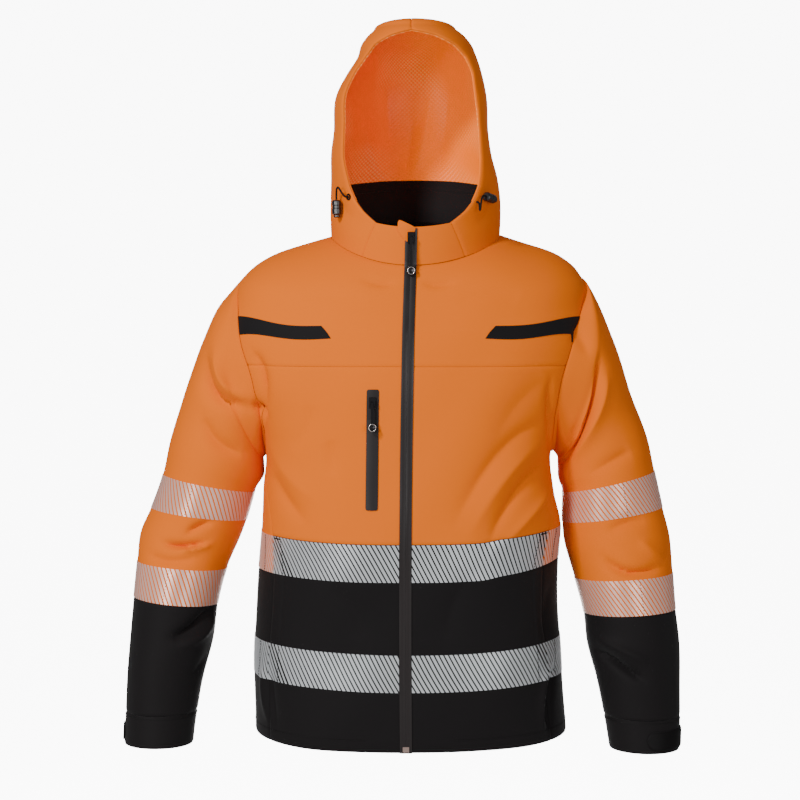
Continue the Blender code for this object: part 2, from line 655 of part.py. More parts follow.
def hood_pieces():
    """Two hood halves that meet in a seam over the crown, and the collar fronts beside the zip."""
    rows = HOOD_ROWS.copy()
    rows[0] += SEAM / 2
    for side, sign in SIDES:
        cloth_wall(f"hood_{side}", hood_half(sign, rows, 0.0, SEAM / 2), ORANGE, CLOTH)
        low = rows[rows <= COLLAR_TOP]
        cloth_wall(f"collar_front_{side}", collar_front(sign, low, 0.0, SEAM / 2), ORANGE, CLOTH)


def across_both(make, rows, lift):
    """A grid from the right front edge round the back to the left one."""
    right, left = make(-1, rows, lift, 0.0), make(1, rows, lift, 0.0)
    return tuple(np.concatenate([a, b[:, 1:]], axis=1) for a, b in zip(right, left))


def linings():
    """The hood's lining above, and the collar's black lining below it, just inside the outer cloth."""
    sunk = -(CLOTH + SEAM)
    rows = HOOD_ROWS[HOOD_ROWS >= LINING_START]
    cloth_wall("hood_lining", across_both(hood_half, rows, sunk), ORANGE, LINING)
    rows = HOOD_ROWS[HOOD_ROWS <= LINING_START]
    rows[0] += SEAM
    rows[-1] -= SEAM
    pieces = [
        collar_front(-1, np.minimum(rows, COLLAR_TOP), sunk, 0.0),
        hood_half(-1, rows, sunk, 0.0),
        hood_half(1, rows, sunk, 0.0),
        collar_front(1, np.minimum(rows, COLLAR_TOP), sunk, 0.0),
    ]
    points, normals = (
        np.concatenate([pieces[0][kind]] + [piece[kind][:, 1:] for piece in pieces[1:]], axis=1)
        for kind in (0, 1)
    )
    open_cells = np.zeros((len(rows) - 1, points.shape[1] - 1), bool)
    open_cells[:, 0] = open_cells[:, -1] = True
    above = rows[:-1] >= COLLAR_TOP
    open_cells[above, :COLLAR_FRONT_COLUMNS] = True
    open_cells[above, -COLLAR_FRONT_COLUMNS:] = True
    cloth_wall("collar_lining", (points, normals), BLACK, LINING, open_cells)


CHIN_GUARD = (-7.0, 3.5, 0.028, 0.059)      # angles and heights of its edges


def chin_guard():
    """A folded flap of cloth behind the top of the zip."""
    left, right, low, high = CHIN_GUARD
    rows = np.linspace(low, high, 4)
    shared = np.full(len(rows), 1.0)
    grid = panel_grid(hood, rows, shared * left, shared * right, 3, -(CLOTH + 3 * SEAM))
    cloth_wall("chin_guard", grid, ORANGE, CLOTH)


def zip_tapes():
    """The front zip's two laminated tapes, from the hem over the neck seam to the collar's top."""
    lift = TAPE + SEAM
    low = np.concatenate([SKIRT_ROWS, CHEST_ROWS[1:], YOKE_ROWS[1:-1]])
    high = np.array([0.0, 0.025, COLLAR_TOP - 0.002])
    for side, sign in SIDES:
        strips = []
        for surface, rows in ((body, low), (hood, high)):
            inner = zip_angle(surface, rows, sign * SEAM)
            outer = zip_angle(surface, rows, sign * ZIP_WIDTH / 2)
            strips.append(panel_grid(surface, rows, inner, outer, 1, lift))
        grid = tuple(np.concatenate([strips[0][kind], strips[1][kind]]) for kind in (0, 1))
        cloth_wall(f"zip_tape_{side}", grid, FILM, TAPE)


# The chest pocket's laminated opening, from the zip's line and by height
POCKET = (0.0365, 0.0525)
POCKET_LOW, POCKET_HIGH = -0.362, -0.206
# The chest flashes: heights of the top and bottom edges at the outer and inner ends
FLASH_OUTER = (-0.131, -0.110)
FLASH_INNER = (-0.137, -0.119)
FLASH_TIP = (0.101, 0.114)      # how far the bottom and top corners lie from the zip's line
FLASH_FIRST_COLUMN = 4          # the yoke's column next to the tip
FLASH_END_SHARE = 0.03          # how far the flash stops short of the armhole
# The hand pockets' welts beside the side seams, between the two tapes
WELT_WIDTH = 0.019
WELT_SPACE = 0.0006
WELT_TURN = 0.3         # degrees between a welt and the side seam


def flash(side, sign):
    """A black flash from the armhole to a slanted tip, on the yoke's own columns."""
    shares = np.arange(FLASH_FIRST_COLUMN, FRONT_COLUMNS + 1) / FRONT_COLUMNS
    shares[-1] -= FLASH_END_SHARE
    towards_tip = np.linspace(0.0, 1.0, len(shares) + 1)
    across, along = [], []
    for edge in (0, 1):
        rows = FLASH_INNER[edge] + (FLASH_OUTER[edge] - FLASH_INNER[edge]) * towards_tip
        inner, outer = front_angles(sign, rows)
        tip = zip_angle(body, rows[:1], sign * FLASH_TIP[edge])
        across.append(np.append(tip, inner[1:] + (outer - inner)[1:] * shares))
        along.append(rows)
    grid = surface_points(body, np.array(across), np.array(along), 2 * TAPE)
    cloth_wall(f"flash_{side}", grid, BLACK, TAPE)


def welt(side, sign):
    """The folded edge of a hand pocket, along the front of the side seam."""
    between_tapes = (SKIRT_ROWS > HEM_BAND + TAPE_WIDTH - SEAM) & (SKIRT_ROWS < WAIST_BAND + SEAM)
    rows = SKIRT_ROWS[between_tapes]
    rows[0] += WELT_SPACE
    rows[-1] -= WELT_SPACE
    outer = front_angles(sign, rows)[1] - sign * WELT_TURN
    inner = outer - sign * metric(body, rows, outer, WELT_WIDTH)
    grid = panel_grid(body, rows, inner, outer, 2, TAPE + 2 * SEAM)
    cloth_wall(f"pocket_welt_{side}", grid, BLACK, TAPE)


def pockets_and_flashes():
    """The chest pocket's film on the right front, then the flashes and the welts."""
    rows = spread([POCKET_LOW, POCKET_HIGH], 0.026)
    inner, outer = (zip_angle(body, rows, -offset) for offset in POCKET)
    cloth_wall("pocket_film", panel_grid(body, rows, inner, outer, 1, TAPE + 2 * SEAM), FILM, TAPE)
    for side, sign in SIDES:
        flash(side, sign)
        welt(side, sign)


# Cuff tabs: the sleeve's degrees that each covers, from its outer edge over the front
CUFF_TABS = {"right": (-108.0, 18.0), "left": (-54.0, 90.0)}
CUFF_TAB_STATIONS = (14.34, 14.90)


def cuff_tabs():
    """A hook-and-loop tab round each cuff."""
    step = 360.0 / SLEEVE_AROUND
    for side, surface in (("right", right_sleeve), ("left", left_sleeve)):
        start, end = CUFF_TABS[side]
        around = np.arange(start, end + step / 2, step)
        along = np.repeat(np.array(CUFF_TAB_STATIONS)[:, None], len(around), axis=1)
        across = np.repeat(around[None, :], 2, axis=0)
        grid = surface_points(surface, across, along, CLOTH + 3 * SEAM)
        cloth_wall(f"cuff_tab_{side}", grid, BLACK, CLOTH)


def seat(surface, across, height, lift):
    """A frame on the outside of the cloth: X to the wearer's left, Z up along it, -Y pointing out."""
    across, height = np.array([float(across)]), np.array([float(height)])
    point, out = surface(across, height)[0], Vector(outward(surface, across, height)[0])
    up = (Vector((0, 0, 1)) - out * out.z).normalized()
    side = up.cross(out).normalized()
    frame = Matrix((side, -out, up)).transposed().to_4x4()
    frame.translation = Vector(point) + out * lift
    return frame


def finish_mesh(name, shape, finish, frame):
    """A part from a bmesh, placed in a frame."""
    bmesh.ops.recalc_face_normals(shape, faces=shape.faces)
    mesh = bpy.data.meshes.new(name)
    shape.to_mesh(mesh)
    shape.free()
    made = add_object(name, mesh, finish)
    made.matrix_world = frame
    return made


def box_shape(size, place, bevel=0.0):
    shape = bmesh.new()
    made = bmesh.ops.create_cube(shape, size=1.0, matrix=Matrix.LocRotScale(place, None, size))
    if bevel:
        edges = list({edge for corner in made["verts"] for edge in corner.link_edges})
        bmesh.ops.bevel(shape, geom=edges, offset=bevel, segments=1, affect="EDGES")
    return shape


def turned(name, outline, finish, frame, sides=12):
    """A turned piece about its Z axis, from (radius, height) pairs that run top to bottom."""
    mesh = bpy.data.meshes.new(name)
    points = [(radius, 0.0, height) for radius, height in outline]
    mesh.from_pydata(points, [(i, i + 1) for i in range(len(points) - 1)], [])
    made = add_object(name, mesh, finish, flat=True)
    screw = made.modifiers.new("Turned", "SCREW")
    screw.steps = screw.render_steps = sides
    screw.use_merge_vertices = True
    screw.merge_threshold = 0.00001
    screw.use_smooth_shade = True
    made.matrix_world = frame
    return made


def joined(base, other):
    """The union of two objects; the second becomes a hidden helper."""
    union = base.modifiers.new("Joined", "BOOLEAN")
    union.operation = "UNION"
    union.object = other
    JACKET.objects.unlink(other)
    CUTTERS.objects.link(other)
    other.hide_render = True
    other.display_type = "WIRE"


# Zip sliders and pulls
SLIDER = Vector((0.0095, 0.0026, 0.015))
EAR = Vector((0.0012, 0.0052, 0.0050))
EAR_SPACING = 0.0056
EAR_SUNK = 0.0004       # how far the ears reach into the slider
PIVOT_OUT = 0.0054      # from the slider's middle to the pull's axis
PULL_WIDTH = 0.0036
PULL_THICKNESS = 0.0014
BUTTON_RADIUS = 0.0060
BUTTON_THICKNESS = 0.0030
SLIDER_LIFT = TAPE + 2 * SEAM + SLIDER.y / 2


def slider_and_pull(name, frame, length):
    """A slider with two ears, and a pull that hangs between them and swings about X."""
    body_shape = box_shape(SLIDER, Vector((0, 0, 0)), bevel=0.0006)
    slider = finish_mesh(f"{name}_slider", body_shape, METAL, frame)
    for side in (-1, 1):
        place = Vector((side * EAR_SPACING / 2, EAR_SUNK - SLIDER.y / 2 - EAR.y / 2, 0.0))
        ear = finish_mesh(f"{name}_ear_{side}", box_shape(EAR, place), METAL, frame)
        joined(slider, ear)
    pivot = frame @ Matrix.Translation((0.0, -PIVOT_OUT, 0.0))
    # The pull hangs straight down from its axis.
    hanging = Matrix.Translation(pivot.translation)
    stem_place = Vector((0.0, 0.0, -(length - BUTTON_RADIUS) / 2))
    stem_size = Vector((PULL_WIDTH, PULL_THICKNESS, length - BUTTON_RADIUS + PULL_THICKNESS))
    pull = finish_mesh(f"{name}_pull", box_shape(stem_size, stem_place), METAL, hanging)
    dome = [
        (0.0, BUTTON_THICKNESS),
        (BUTTON_RADIUS * 0.6, BUTTON_THICKNESS * 0.85),
        (BUTTON_RADIUS, BUTTON_THICKNESS * 0.35),
        (BUTTON_RADIUS, 0.0),
        (0.0, 0.0),
    ]
    face_out = hanging @ Matrix.Translation((0.0, PULL_THICKNESS * 0.4, -length))
    button = turned(f"{name}_button", dome, METAL, face_out @ Matrix.Rotation(math.pi / 2, 4, "X"), 16)
    joined(pull, button)


SLIDER_HEIGHT = 0.036
PULL_LENGTH = 0.043
POCKET_SLIDER = -0.222
POCKET_PULL_LENGTH = 0.032


def sliders():
    """The front zip's slider near the collar's top, and the chest pocket's near its top."""
    height = np.array([SLIDER_HEIGHT])
    slider_and_pull("zip", seat(hood, zip_angle(hood, height)[0], SLIDER_HEIGHT, SLIDER_LIFT), PULL_LENGTH)
    height = np.array([POCKET_SLIDER])
    angle = zip_angle(body, height, -sum(POCKET) / 2)[0]
    slider_and_pull("pocket", seat(body, angle, POCKET_SLIDER, SLIDER_LIFT + SEAM), POCKET_PULL_LENGTH)


ZIP_STOP = Vector((0.0085, 0.0014, 0.0070))
ZIP_STOP_HEIGHT = HEM + 0.005


def zip_stop():
    """The stop that closes the front zip's bottom end."""
    height = np.array([ZIP_STOP_HEIGHT])
    lift = TAPE + 2 * SEAM + ZIP_STOP.y / 2
    frame = seat(body, zip_angle(body, height)[0], ZIP_STOP_HEIGHT, lift)
    finish_mesh("zip_stop", box_shape(ZIP_STOP, Vector((0, 0, 0)), bevel=0.0004), METAL, frame)


# Hood cords: eyelets near the face edge, with a barrel lock hanging from each
EYELETS = {"right": (47.5, 0.068, -0.0005), "left": (44.0, 0.064, 0.0003)}     # angle, height, lift
LOCKS = {"right": (57.0, 0.052, 0.0), "left": (55.0, 0.064, -80.0)}     # angle, height, roll
RING_HEIGHT = 0.0008
LOCK_RADIUS = 0.0062
LOCK_LENGTH = 0.020
LOCK_PROUD = 0.0068
CORD_DIAMETER = 0.0026
CORD_STEPS = 12
# How far each cord stands out from its eyelet before it turns, and the loop's sag or rise between
CORD_LOOPS = {"right": Vector((-0.004, -0.006, 0.012)), "left": Vector((-0.002, -0.012, -0.016))}
CORD_STRAIGHT = 0.005


def cord_route(eyelet, entry, loop):
    """A smooth route: straight out of the eyelet, over its loop, and straight into the lock."""
    start = eyelet @ Vector((0.0, 0.0, RING_HEIGHT))
    end = entry @ Vector((0.0, 0.0, SEAM))
    leave = eyelet @ Vector((0.0, 0.0, CORD_STRAIGHT))
    arrive = entry @ Vector((0.0, 0.0, CORD_STRAIGHT))
    middle = (leave + arrive) / 2 + loop
    stops = np.array([start, leave, middle, arrive, end])
    lengths = np.linalg.norm(np.diff(stops, axis=0), axis=1)
    stations = np.append(0.0, np.cumsum(lengths))
    where = np.linspace(0.0, stations[-1], CORD_STEPS + 1)
    return np.stack([smooth_between(stations, stops[:, axis], where) for axis in range(3)], axis=-1)


def tube(name, route, diameter, finish):
    """A round cord along a route, as a curve with filled caps."""
    curve = bpy.data.curves.new(name, "CURVE")
    curve.dimensions = "3D"
    curve.bevel_depth = diameter / 2
    curve.bevel_resolution = 2
    curve.use_fill_caps = True
    curve.materials.append(material(finish))
    spline = curve.splines.new("POLY")
    spline.points.add(len(route) - 1)
    for point, place in zip(spline.points, route):
        point.co = (*place, 1.0)
    made = bpy.data.objects.new(name, curve)
    JACKET.objects.link(made)
    return made


def locks_and_cords():
    """A turned eyelet, a ribbed barrel lock with its plunger, and the short cord between them."""
    ring = [(0.0022, RING_HEIGHT), (0.0046, 0.0006), (0.0046, 0.0), (0.0022, 0.0), (0.0022, RING_HEIGHT)]
    rib = LOCK_RADIUS * 0.9
    half = LOCK_LENGTH / 2
    barrel = [
        (0.0, half),
        (rib * 0.8, half),
        (LOCK_RADIUS, half * 0.8),
        (LOCK_RADIUS, half * 0.35),
        (rib, half * 0.25),
        (rib, -half * 0.05),
        (LOCK_RADIUS, -half * 0.15),
        (LOCK_RADIUS, -half * 0.8),
        (rib * 0.8, -half),
        (0.0, -half),
    ]
    plunger = [(0.0, 0.0032), (0.0034, 0.0030), (0.0042, 0.0020), (0.0042, 0.0), (0.0, 0.0)]
    for side, sign in SIDES:
        angle, height, roll = LOCKS[side]
        lock = seat(hood, sign * angle, height, LOCK_PROUD) @ Matrix.Rotation(math.radians(roll), 4, "Y")
        turned(f"cord_lock_{side}", barrel, METAL, lock)
        below = lock @ Matrix.Translation((0.0, 0.0, -half - SEAM)) @ Matrix.Rotation(math.pi, 4, "X")
        turned(f"lock_plunger_{side}", plunger, METAL, below)
        angle, height, lift = EYELETS[side]
        eyelet = seat(hood, sign * angle, height, lift) @ Matrix.Rotation(math.pi / 2, 4, "X")
        turned(f"eyelet_{side}", ring, METAL, eyelet)
        entry = lock @ Matrix.Translation((0.0, 0.0, half))
        tube(f"hood_cord_{side}", cord_route(eyelet, entry, CORD_LOOPS[side]), CORD_DIAMETER, CORD)


body_panels()
body_tapes()
sleeves()
hood_pieces()
linings()
chin_guard()
zip_tapes()
pockets_and_flashes()
cuff_tabs()
sliders()
zip_stop()
locks_and_cords()
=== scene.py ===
import math

import bmesh
import bpy
import numpy as np
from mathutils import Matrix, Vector


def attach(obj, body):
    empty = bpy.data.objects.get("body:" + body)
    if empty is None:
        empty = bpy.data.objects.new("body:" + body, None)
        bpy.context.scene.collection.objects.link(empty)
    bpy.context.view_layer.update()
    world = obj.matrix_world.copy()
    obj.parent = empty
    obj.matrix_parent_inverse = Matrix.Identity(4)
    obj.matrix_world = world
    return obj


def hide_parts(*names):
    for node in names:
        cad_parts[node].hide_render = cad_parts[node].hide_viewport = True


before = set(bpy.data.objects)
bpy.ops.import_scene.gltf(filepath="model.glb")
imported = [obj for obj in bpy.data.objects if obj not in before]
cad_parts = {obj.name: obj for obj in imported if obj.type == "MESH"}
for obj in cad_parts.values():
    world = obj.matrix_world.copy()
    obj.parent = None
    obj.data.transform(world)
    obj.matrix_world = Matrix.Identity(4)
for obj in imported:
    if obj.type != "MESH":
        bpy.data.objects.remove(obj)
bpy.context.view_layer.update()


# Camera, floor and light
# A plain pale studio: a key light and a low one on the wearer's right, a broad weaker one opposite,
# a dim surround that fills the shadows, and a white backdrop, lit for itself, that hides the horizon.
FLOOR_HEIGHT, BACKDROP_AWAY = -2.6, 6.5
STUDIO_WHITE = (0.90, 0.90, 0.90)


def placed(name, data, place=(0.0, 0.0, 0.0), target=None):
    """An object in the scene, turned to face a target where one is given."""
    made = bpy.data.objects.new(name, data)
    made.location = place
    if target:
        made.rotation_euler = (Vector(target) - Vector(place)).to_track_quat("-Z", "Y").to_euler()
    bpy.context.scene.collection.objects.link(made)
    return made


def feed(tree, target, inputs):
    """Sets a node's inputs to values, or links them to other nodes' outputs."""
    for name, value in inputs.items():
        if isinstance(value, bpy.types.NodeSocket):
            tree.links.new(value, target.inputs[name])
        else:
            target.inputs[name].default_value = value


def shader(name, colour, roughness, metallic=0.0, sheen=0.0, specular=0.5, glow=0.0, shine=(1.0, 1.0, 1.0)):
    """A Principled material with its main values set."""
    made = bpy.data.materials.new(name)
    made.use_nodes = True
    feed(made.node_tree, made.node_tree.nodes["Principled BSDF"], {
        "Base Color": (*colour, 1.0),
        "Roughness": roughness,
        "Metallic": metallic,
        "Sheen Weight": sheen,
        "Specular IOR Level": specular,
        "Emission Color": (*shine, 1.0),
        "Emission Strength": glow,
    })
    return made


def wall(name, corners, place, paint):
    """One flat face of the studio."""
    mesh = bpy.data.meshes.new(name)
    mesh.from_pydata(corners, [], [(0, 1, 2, 3)])
    mesh.materials.append(paint)
    placed(name, mesh, place)


camera = placed("camera", bpy.data.cameras.new("camera"), (-0.011, -2.8, -0.088), (-0.011, 0.0, -0.225))
camera.data.sensor_width = 36.0
camera.data.lens = 92.0
camera.data.dof.use_dof = False
bpy.context.scene.camera = camera

floor_paint = shader("floor_paint", STUDIO_WHITE, 0.9)
backdrop_paint = shader("backdrop_paint", STUDIO_WHITE, 0.9, glow=9.0)
ground = [(-30, -30, 0), (30, -30, 0), (30, 30, 0), (-30, 30, 0)]
wall("floor", ground, (0.0, 0.0, FLOOR_HEIGHT), floor_paint)
upright = [(-2.1, 0, 0), (2.1, 0, 0), (2.1, 0, 4.1), (-2.1, 0, 4.1)]
wall("backdrop", upright, (0.0, BACKDROP_AWAY, FLOOR_HEIGHT), backdrop_paint)

for name, place, target, size, power in (
    ("key", (-1.8, -2.3, 1.75), (0.0, 0.0, -0.2), 0.45, 84.0),
    ("low_key", (-1.6, -2.7, 0.15), (0.0, 0.0, 0.0), 0.45, 34.0),
    ("fill", (1.3, -2.9, 0.1), (0.0, 0.0, -0.3), 1.4, 30.0),
):
    lamp = bpy.data.lights.new(name, "AREA")
    lamp.size = size
    lamp.energy = power
    placed(name, lamp, place, target)

world = bpy.context.scene.world or bpy.data.worlds.new("surround")
bpy.context.scene.world = world
world.use_nodes = True
surround = {"Color": (1.0, 1.0, 1.0, 1.0), "Strength": 0.25}
feed(world.node_tree, world.node_tree.nodes["Background"], surround)


# Body: fronts, backs and yokes
# Three-layer softshell, orange polyester above and black below, laminated to a membrane. The panels are
# joined by flat seams, and hang open at the hem over a wearer's shoulders.
CLOTH, SEAM = 0.0018, 0.0003
TAPE_WIDTH = 0.050
HEM, HEM_BAND, WAIST_BAND = -0.680, -0.600, -0.457
WAIST_SEAM = WAIST_BAND + TAPE_WIDTH
UNDERARM, SHOULDER, NECK = -0.296, -0.054, 0.0
YOKE_SEAM = (UNDERARM + SHOULDER) / 2
NECK_DROP, NECK_RISE, NECK_FADE = 0.042, 0.020, -0.130
HIP_LIFT, HIP_LIFT_SPREAD = 0.010, 0.070
HEM_DIP, HEM_SIDE_LIFT = 0.0030, 0.0050
ARMHOLE_FRONT, ARMHOLE_BACK, ARMHOLE_FULLNESS = 31.0, 27.0, 0.75
ZIP_WIDTH = 0.016
ROW_STEP = 0.0036
RADIAN = 57.3


def table(names, *rows):
    """Columns of numbers by name."""
    return dict(zip(names, np.array(rows).T))


# Level sections of the body: half widths right and left of the middle, reach to front and back
BODY_RINGS = table(
    ("height", "middle", "right", "left", "front", "back", "squareness"),
    (-0.700, 0.003, 0.214, 0.216, 0.139, 0.134, 2.5),
    (-0.660, 0.003, 0.214, 0.213, 0.140, 0.136, 2.5),
    (-0.590, 0.001, 0.212, 0.209, 0.141, 0.138, 2.5),
    (-0.530, 0.001, 0.209, 0.206, 0.141, 0.140, 2.5),
    (-0.457, 0.001, 0.206, 0.205, 0.142, 0.142, 2.5),
    (-0.400, 0.002, 0.203, 0.205, 0.143, 0.145, 2.5),
    (-0.345, 0.002, 0.199, 0.197, 0.144, 0.148, 2.5),
    (-0.300, 0.002, 0.195, 0.195, 0.145, 0.151, 2.5),
    (-0.245, 0.002, 0.212, 0.210, 0.144, 0.153, 2.5),
    (-0.200, 0.002, 0.236, 0.226, 0.142, 0.153, 2.5),
    (-0.150, 0.002, 0.254, 0.242, 0.137, 0.150, 2.4),
    (-0.100, 0.002, 0.243, 0.243, 0.129, 0.143, 2.3),
    (-0.054, 0.003, 0.223, 0.235, 0.121, 0.133, 2.2),
    (-0.036, 0.004, 0.202, 0.219, 0.116, 0.126, 2.1),
    (-0.020, 0.004, 0.172, 0.190, 0.111, 0.116, 2.0),
    (-0.009, 0.004, 0.141, 0.153, 0.107, 0.103, 2.0),
    (0.000, 0.004, 0.110, 0.120, 0.104, 0.090, 2.0),
)
ZIP_LINE = table(
    ("height", "offset"),
    (-0.700, -0.003), (-0.560, -0.004), (-0.440, -0.004), (-0.300, -0.003), (-0.120, 0.000), (0.050, 0.004)
)
SIDE_SEAM = table(
    ("height", "angle"),
    (-0.700, 31.0), (-0.550, 31.0), (-0.420, 29.0), (-0.350, 17.0), (-0.296, 0.0),
)
# Creases of the body and the sleeves: which side they face (-1 front, 1 back), three points of their
# line in x and z, their breadth, and how deep a trough (negative) or how high a ridge they make
CREASES = (
    # right sleeve, front
    (-1, -0.272, -0.160, -0.265, -0.211, -0.217, -0.230, 0.0081, -0.0146),
    (-1, -0.260, -0.155, -0.247, -0.201, -0.212, -0.217, 0.0072, 0.0074),
    (-1, -0.276, -0.246, -0.257, -0.278, -0.223, -0.294, 0.009, -0.0086),
    (-1, -0.208, -0.157, -0.194, -0.189, -0.192, -0.237, 0.0072, -0.0097),
    (-1, -0.210, -0.233, -0.200, -0.234, -0.189, -0.245, 0.0036, -0.0097),
    (-1, -0.298, -0.402, -0.282, -0.392, -0.263, -0.387, 0.0045, -0.0086),
    (-1, -0.332, -0.414, -0.300, -0.418, -0.271, -0.414, 0.0045, -0.0121),
    (-1, -0.308, -0.424, -0.287, -0.422, -0.265, -0.416, 0.0045, 0.0074),
    (-1, -0.349, -0.431, -0.324, -0.438, -0.284, -0.434, 0.0063, -0.0060),
    (-1, -0.318, -0.540, -0.289, -0.526, -0.265, -0.503, 0.0063, -0.0121),
    (-1, -0.308, -0.552, -0.278, -0.539, -0.263, -0.515, 0.0063, 0.0074),
    (-1, -0.289, -0.592, -0.273, -0.571, -0.269, -0.545, 0.0054, -0.0074),
    (-1, -0.208, -0.229, -0.196, -0.236, -0.190, -0.276, 0.005, -0.0060),
    (-1, -0.196, -0.255, -0.194, -0.282, -0.189, -0.322, 0.004, -0.0075),
    # left sleeve, front
    (-1, 0.198, -0.238, 0.194, -0.276, 0.198, -0.310, 0.004, -0.0081),
    (-1, 0.230, -0.255, 0.217, -0.286, 0.204, -0.316, 0.004, -0.0081),
    (-1, 0.257, -0.163, 0.244, -0.233, 0.204, -0.313, 0.0054, -0.0171),
    (-1, 0.265, -0.185, 0.255, -0.238, 0.220, -0.305, 0.0081, 0.0074),
    (-1, 0.189, -0.192, 0.190, -0.234, 0.197, -0.282, 0.0045, -0.0074),
    (-1, 0.217, -0.126, 0.231, -0.139, 0.241, -0.163, 0.009, -0.0060),
    (-1, 0.300, -0.292, 0.279, -0.302, 0.244, -0.321, 0.009, -0.0060),
    (-1, 0.263, -0.435, 0.295, -0.453, 0.343, -0.447, 0.0054, -0.0109),
    (-1, 0.268, -0.399, 0.292, -0.388, 0.322, -0.384, 0.0072, -0.0060),
    (-1, 0.311, -0.410, 0.327, -0.426, 0.349, -0.437, 0.0072, 0.0049),
    (-1, 0.251, -0.562, 0.280, -0.574, 0.314, -0.595, 0.0054, -0.0135),
    (-1, 0.254, -0.545, 0.288, -0.558, 0.322, -0.574, 0.0081, 0.0074),
    # fronts
    (-1, -0.155, -0.285, -0.134, -0.258, -0.126, -0.224, 0.0126, -0.0030),
    (-1, -0.105, -0.272, -0.101, -0.293, -0.102, -0.321, 0.009, -0.0034),
    (-1, -0.180, -0.318, -0.164, -0.350, -0.135, -0.381, 0.0108, -0.0061),
    (-1, -0.182, -0.273, -0.166, -0.313, -0.122, -0.352, 0.0144, 0.0037),
    (-1, 0.184, -0.251, 0.123, -0.287, 0.063, -0.376, 0.0108, -0.0068),
    (-1, 0.194, -0.300, 0.147, -0.337, 0.108, -0.405, 0.009, -0.0084),
    (-1, 0.191, -0.272, 0.136, -0.311, 0.084, -0.390, 0.0108, 0.0054),
    (-1, 0.194, -0.337, 0.165, -0.370, 0.128, -0.413, 0.0081, 0.0054),
    (-1, 0.184, -0.193, 0.147, -0.224, 0.113, -0.272, 0.0162, -0.0034),
    (-1, 0.201, -0.579, 0.186, -0.622, 0.190, -0.664, 0.0045, -0.0097),
    (-1, 0.190, -0.585, 0.178, -0.622, 0.181, -0.667, 0.0045, 0.0069),
    (-1, 0.195, -0.471, 0.185, -0.511, 0.188, -0.550, 0.009, -0.0046),
    (-1, -0.193, -0.585, -0.193, -0.616, -0.188, -0.653, 0.0054, 0.0069),
    (-1, -0.182, -0.590, -0.182, -0.622, -0.177, -0.656, 0.0063, -0.0059),
    (-1, -0.102, -0.462, -0.073, -0.494, -0.063, -0.534, 0.0144, -0.0030),
    (-1, 0.081, -0.449, 0.058, -0.487, 0.050, -0.534, 0.0144, -0.0030),
    (-1, -0.143, -0.088, -0.103, -0.083, -0.053, -0.088, 0.0126, -0.0023),
    (-1, 0.148, -0.085, 0.111, -0.080, 0.063, -0.088, 0.0126, -0.0023),
    (-1, -0.018, -0.063, -0.037, -0.066, -0.061, -0.060, 0.0045, -0.0039),
    (-1, 0.021, -0.063, 0.039, -0.067, 0.063, -0.062, 0.0045, -0.0039),
    # backs and the sleeves' backs
    (1, 0.180, -0.240, 0.110, -0.280, 0.050, -0.360, 0.0126, -0.0097),
    (1, -0.182, -0.236, -0.120, -0.275, -0.060, -0.345, 0.0126, -0.0097),
    (1, 0.186, -0.300, 0.120, -0.338, 0.070, -0.405, 0.0108, -0.0078),
    (1, -0.186, -0.296, -0.130, -0.332, -0.085, -0.400, 0.0108, -0.0078),
    (1, 0.150, -0.380, 0.030, -0.402, -0.080, -0.392, 0.0126, -0.0059),
    (1, -0.165, -0.372, -0.040, -0.425, 0.060, -0.432, 0.0117, 0.0059),
    (1, 0.070, -0.120, 0.000, -0.135, -0.070, -0.120, 0.0144, -0.0048),
    (1, 0.130, -0.500, 0.070, -0.530, 0.050, -0.560, 0.0126, -0.0048),
    (1, -0.140, -0.495, -0.090, -0.525, -0.070, -0.570, 0.0126, -0.0048),
    (1, 0.285, -0.170, 0.262, -0.230, 0.225, -0.285, 0.0081, -0.0097),
    (1, -0.285, -0.180, -0.262, -0.238, -0.225, -0.290, 0.0081, -0.0097),
    (1, 0.345, -0.418, 0.300, -0.426, 0.245, -0.412, 0.0063, -0.0097),
    (1, -0.345, -0.412, -0.300, -0.428, -0.250, -0.410, 0.0063, -0.0097),
    (1, 0.340, -0.395, 0.300, -0.402, 0.250, -0.390, 0.0063, 0.0059),
    (1, -0.340, -0.392, -0.300, -0.404, -0.255, -0.388, 0.0063, 0.0059),
    (1, 0.335, -0.560, 0.300, -0.575, 0.270, -0.570, 0.0072, -0.0069),
    (1, -0.345, -0.555, -0.310, -0.570, -0.285, -0.560, 0.0072, -0.0069),
)
# Ripples of the whole cloth: their direction and turns a metre, where they start, and their height
RIPPLES = (
    (9.0, 4.0, 11.0, 0.4, 0.0011),
    (-7.0, 6.0, 14.0, 1.9, 0.0009),
    (16.0, -9.0, 8.0, 3.1, 0.0007),
    (-21.0, 12.0, 17.0, 4.4, 0.0004),
    (31.0, 14.0, -23.0, 0.9, 0.00025),
)


def smooth_between(stations, values, where):
    """Values at the places asked for, on a smooth curve through the stations."""
    slopes = np.gradient(values, stations, axis=0)
    first = np.clip(np.searchsorted(stations, where, side="right") - 1, 0, len(stations) - 2)
    gap = stations[first + 1] - stations[first]
    part = np.clip((where - stations[first]) / gap, 0.0, 1.0)
    if values.ndim > 1:
        place = np.arange(len(part))
        start, end = values[first, place], values[first + 1, place]
        leave, arrive = slopes[first, place], slopes[first + 1, place]
        part, gap = part[:, None], gap[:, None]
    else:
        start, end = values[first], values[first + 1]
        leave, arrive = slopes[first], slopes[first + 1]
    square, cube = part**2, part**3
    return (
        (2 * cube - 3 * square + 1) * start
        + (cube - 2 * square + part) * gap * leave
        + (3 * square - 2 * cube) * end
        + (cube - square) * gap * arrive
    )


def profile(rings, name, height):
    """One column of the rings at a height."""
    return smooth_between(rings["height"], rings[name], height)


def section(rings, height):
    """Every column of the rings but the heights, at a height."""
    return [profile(rings, name, height) for name in rings if name != "height"]


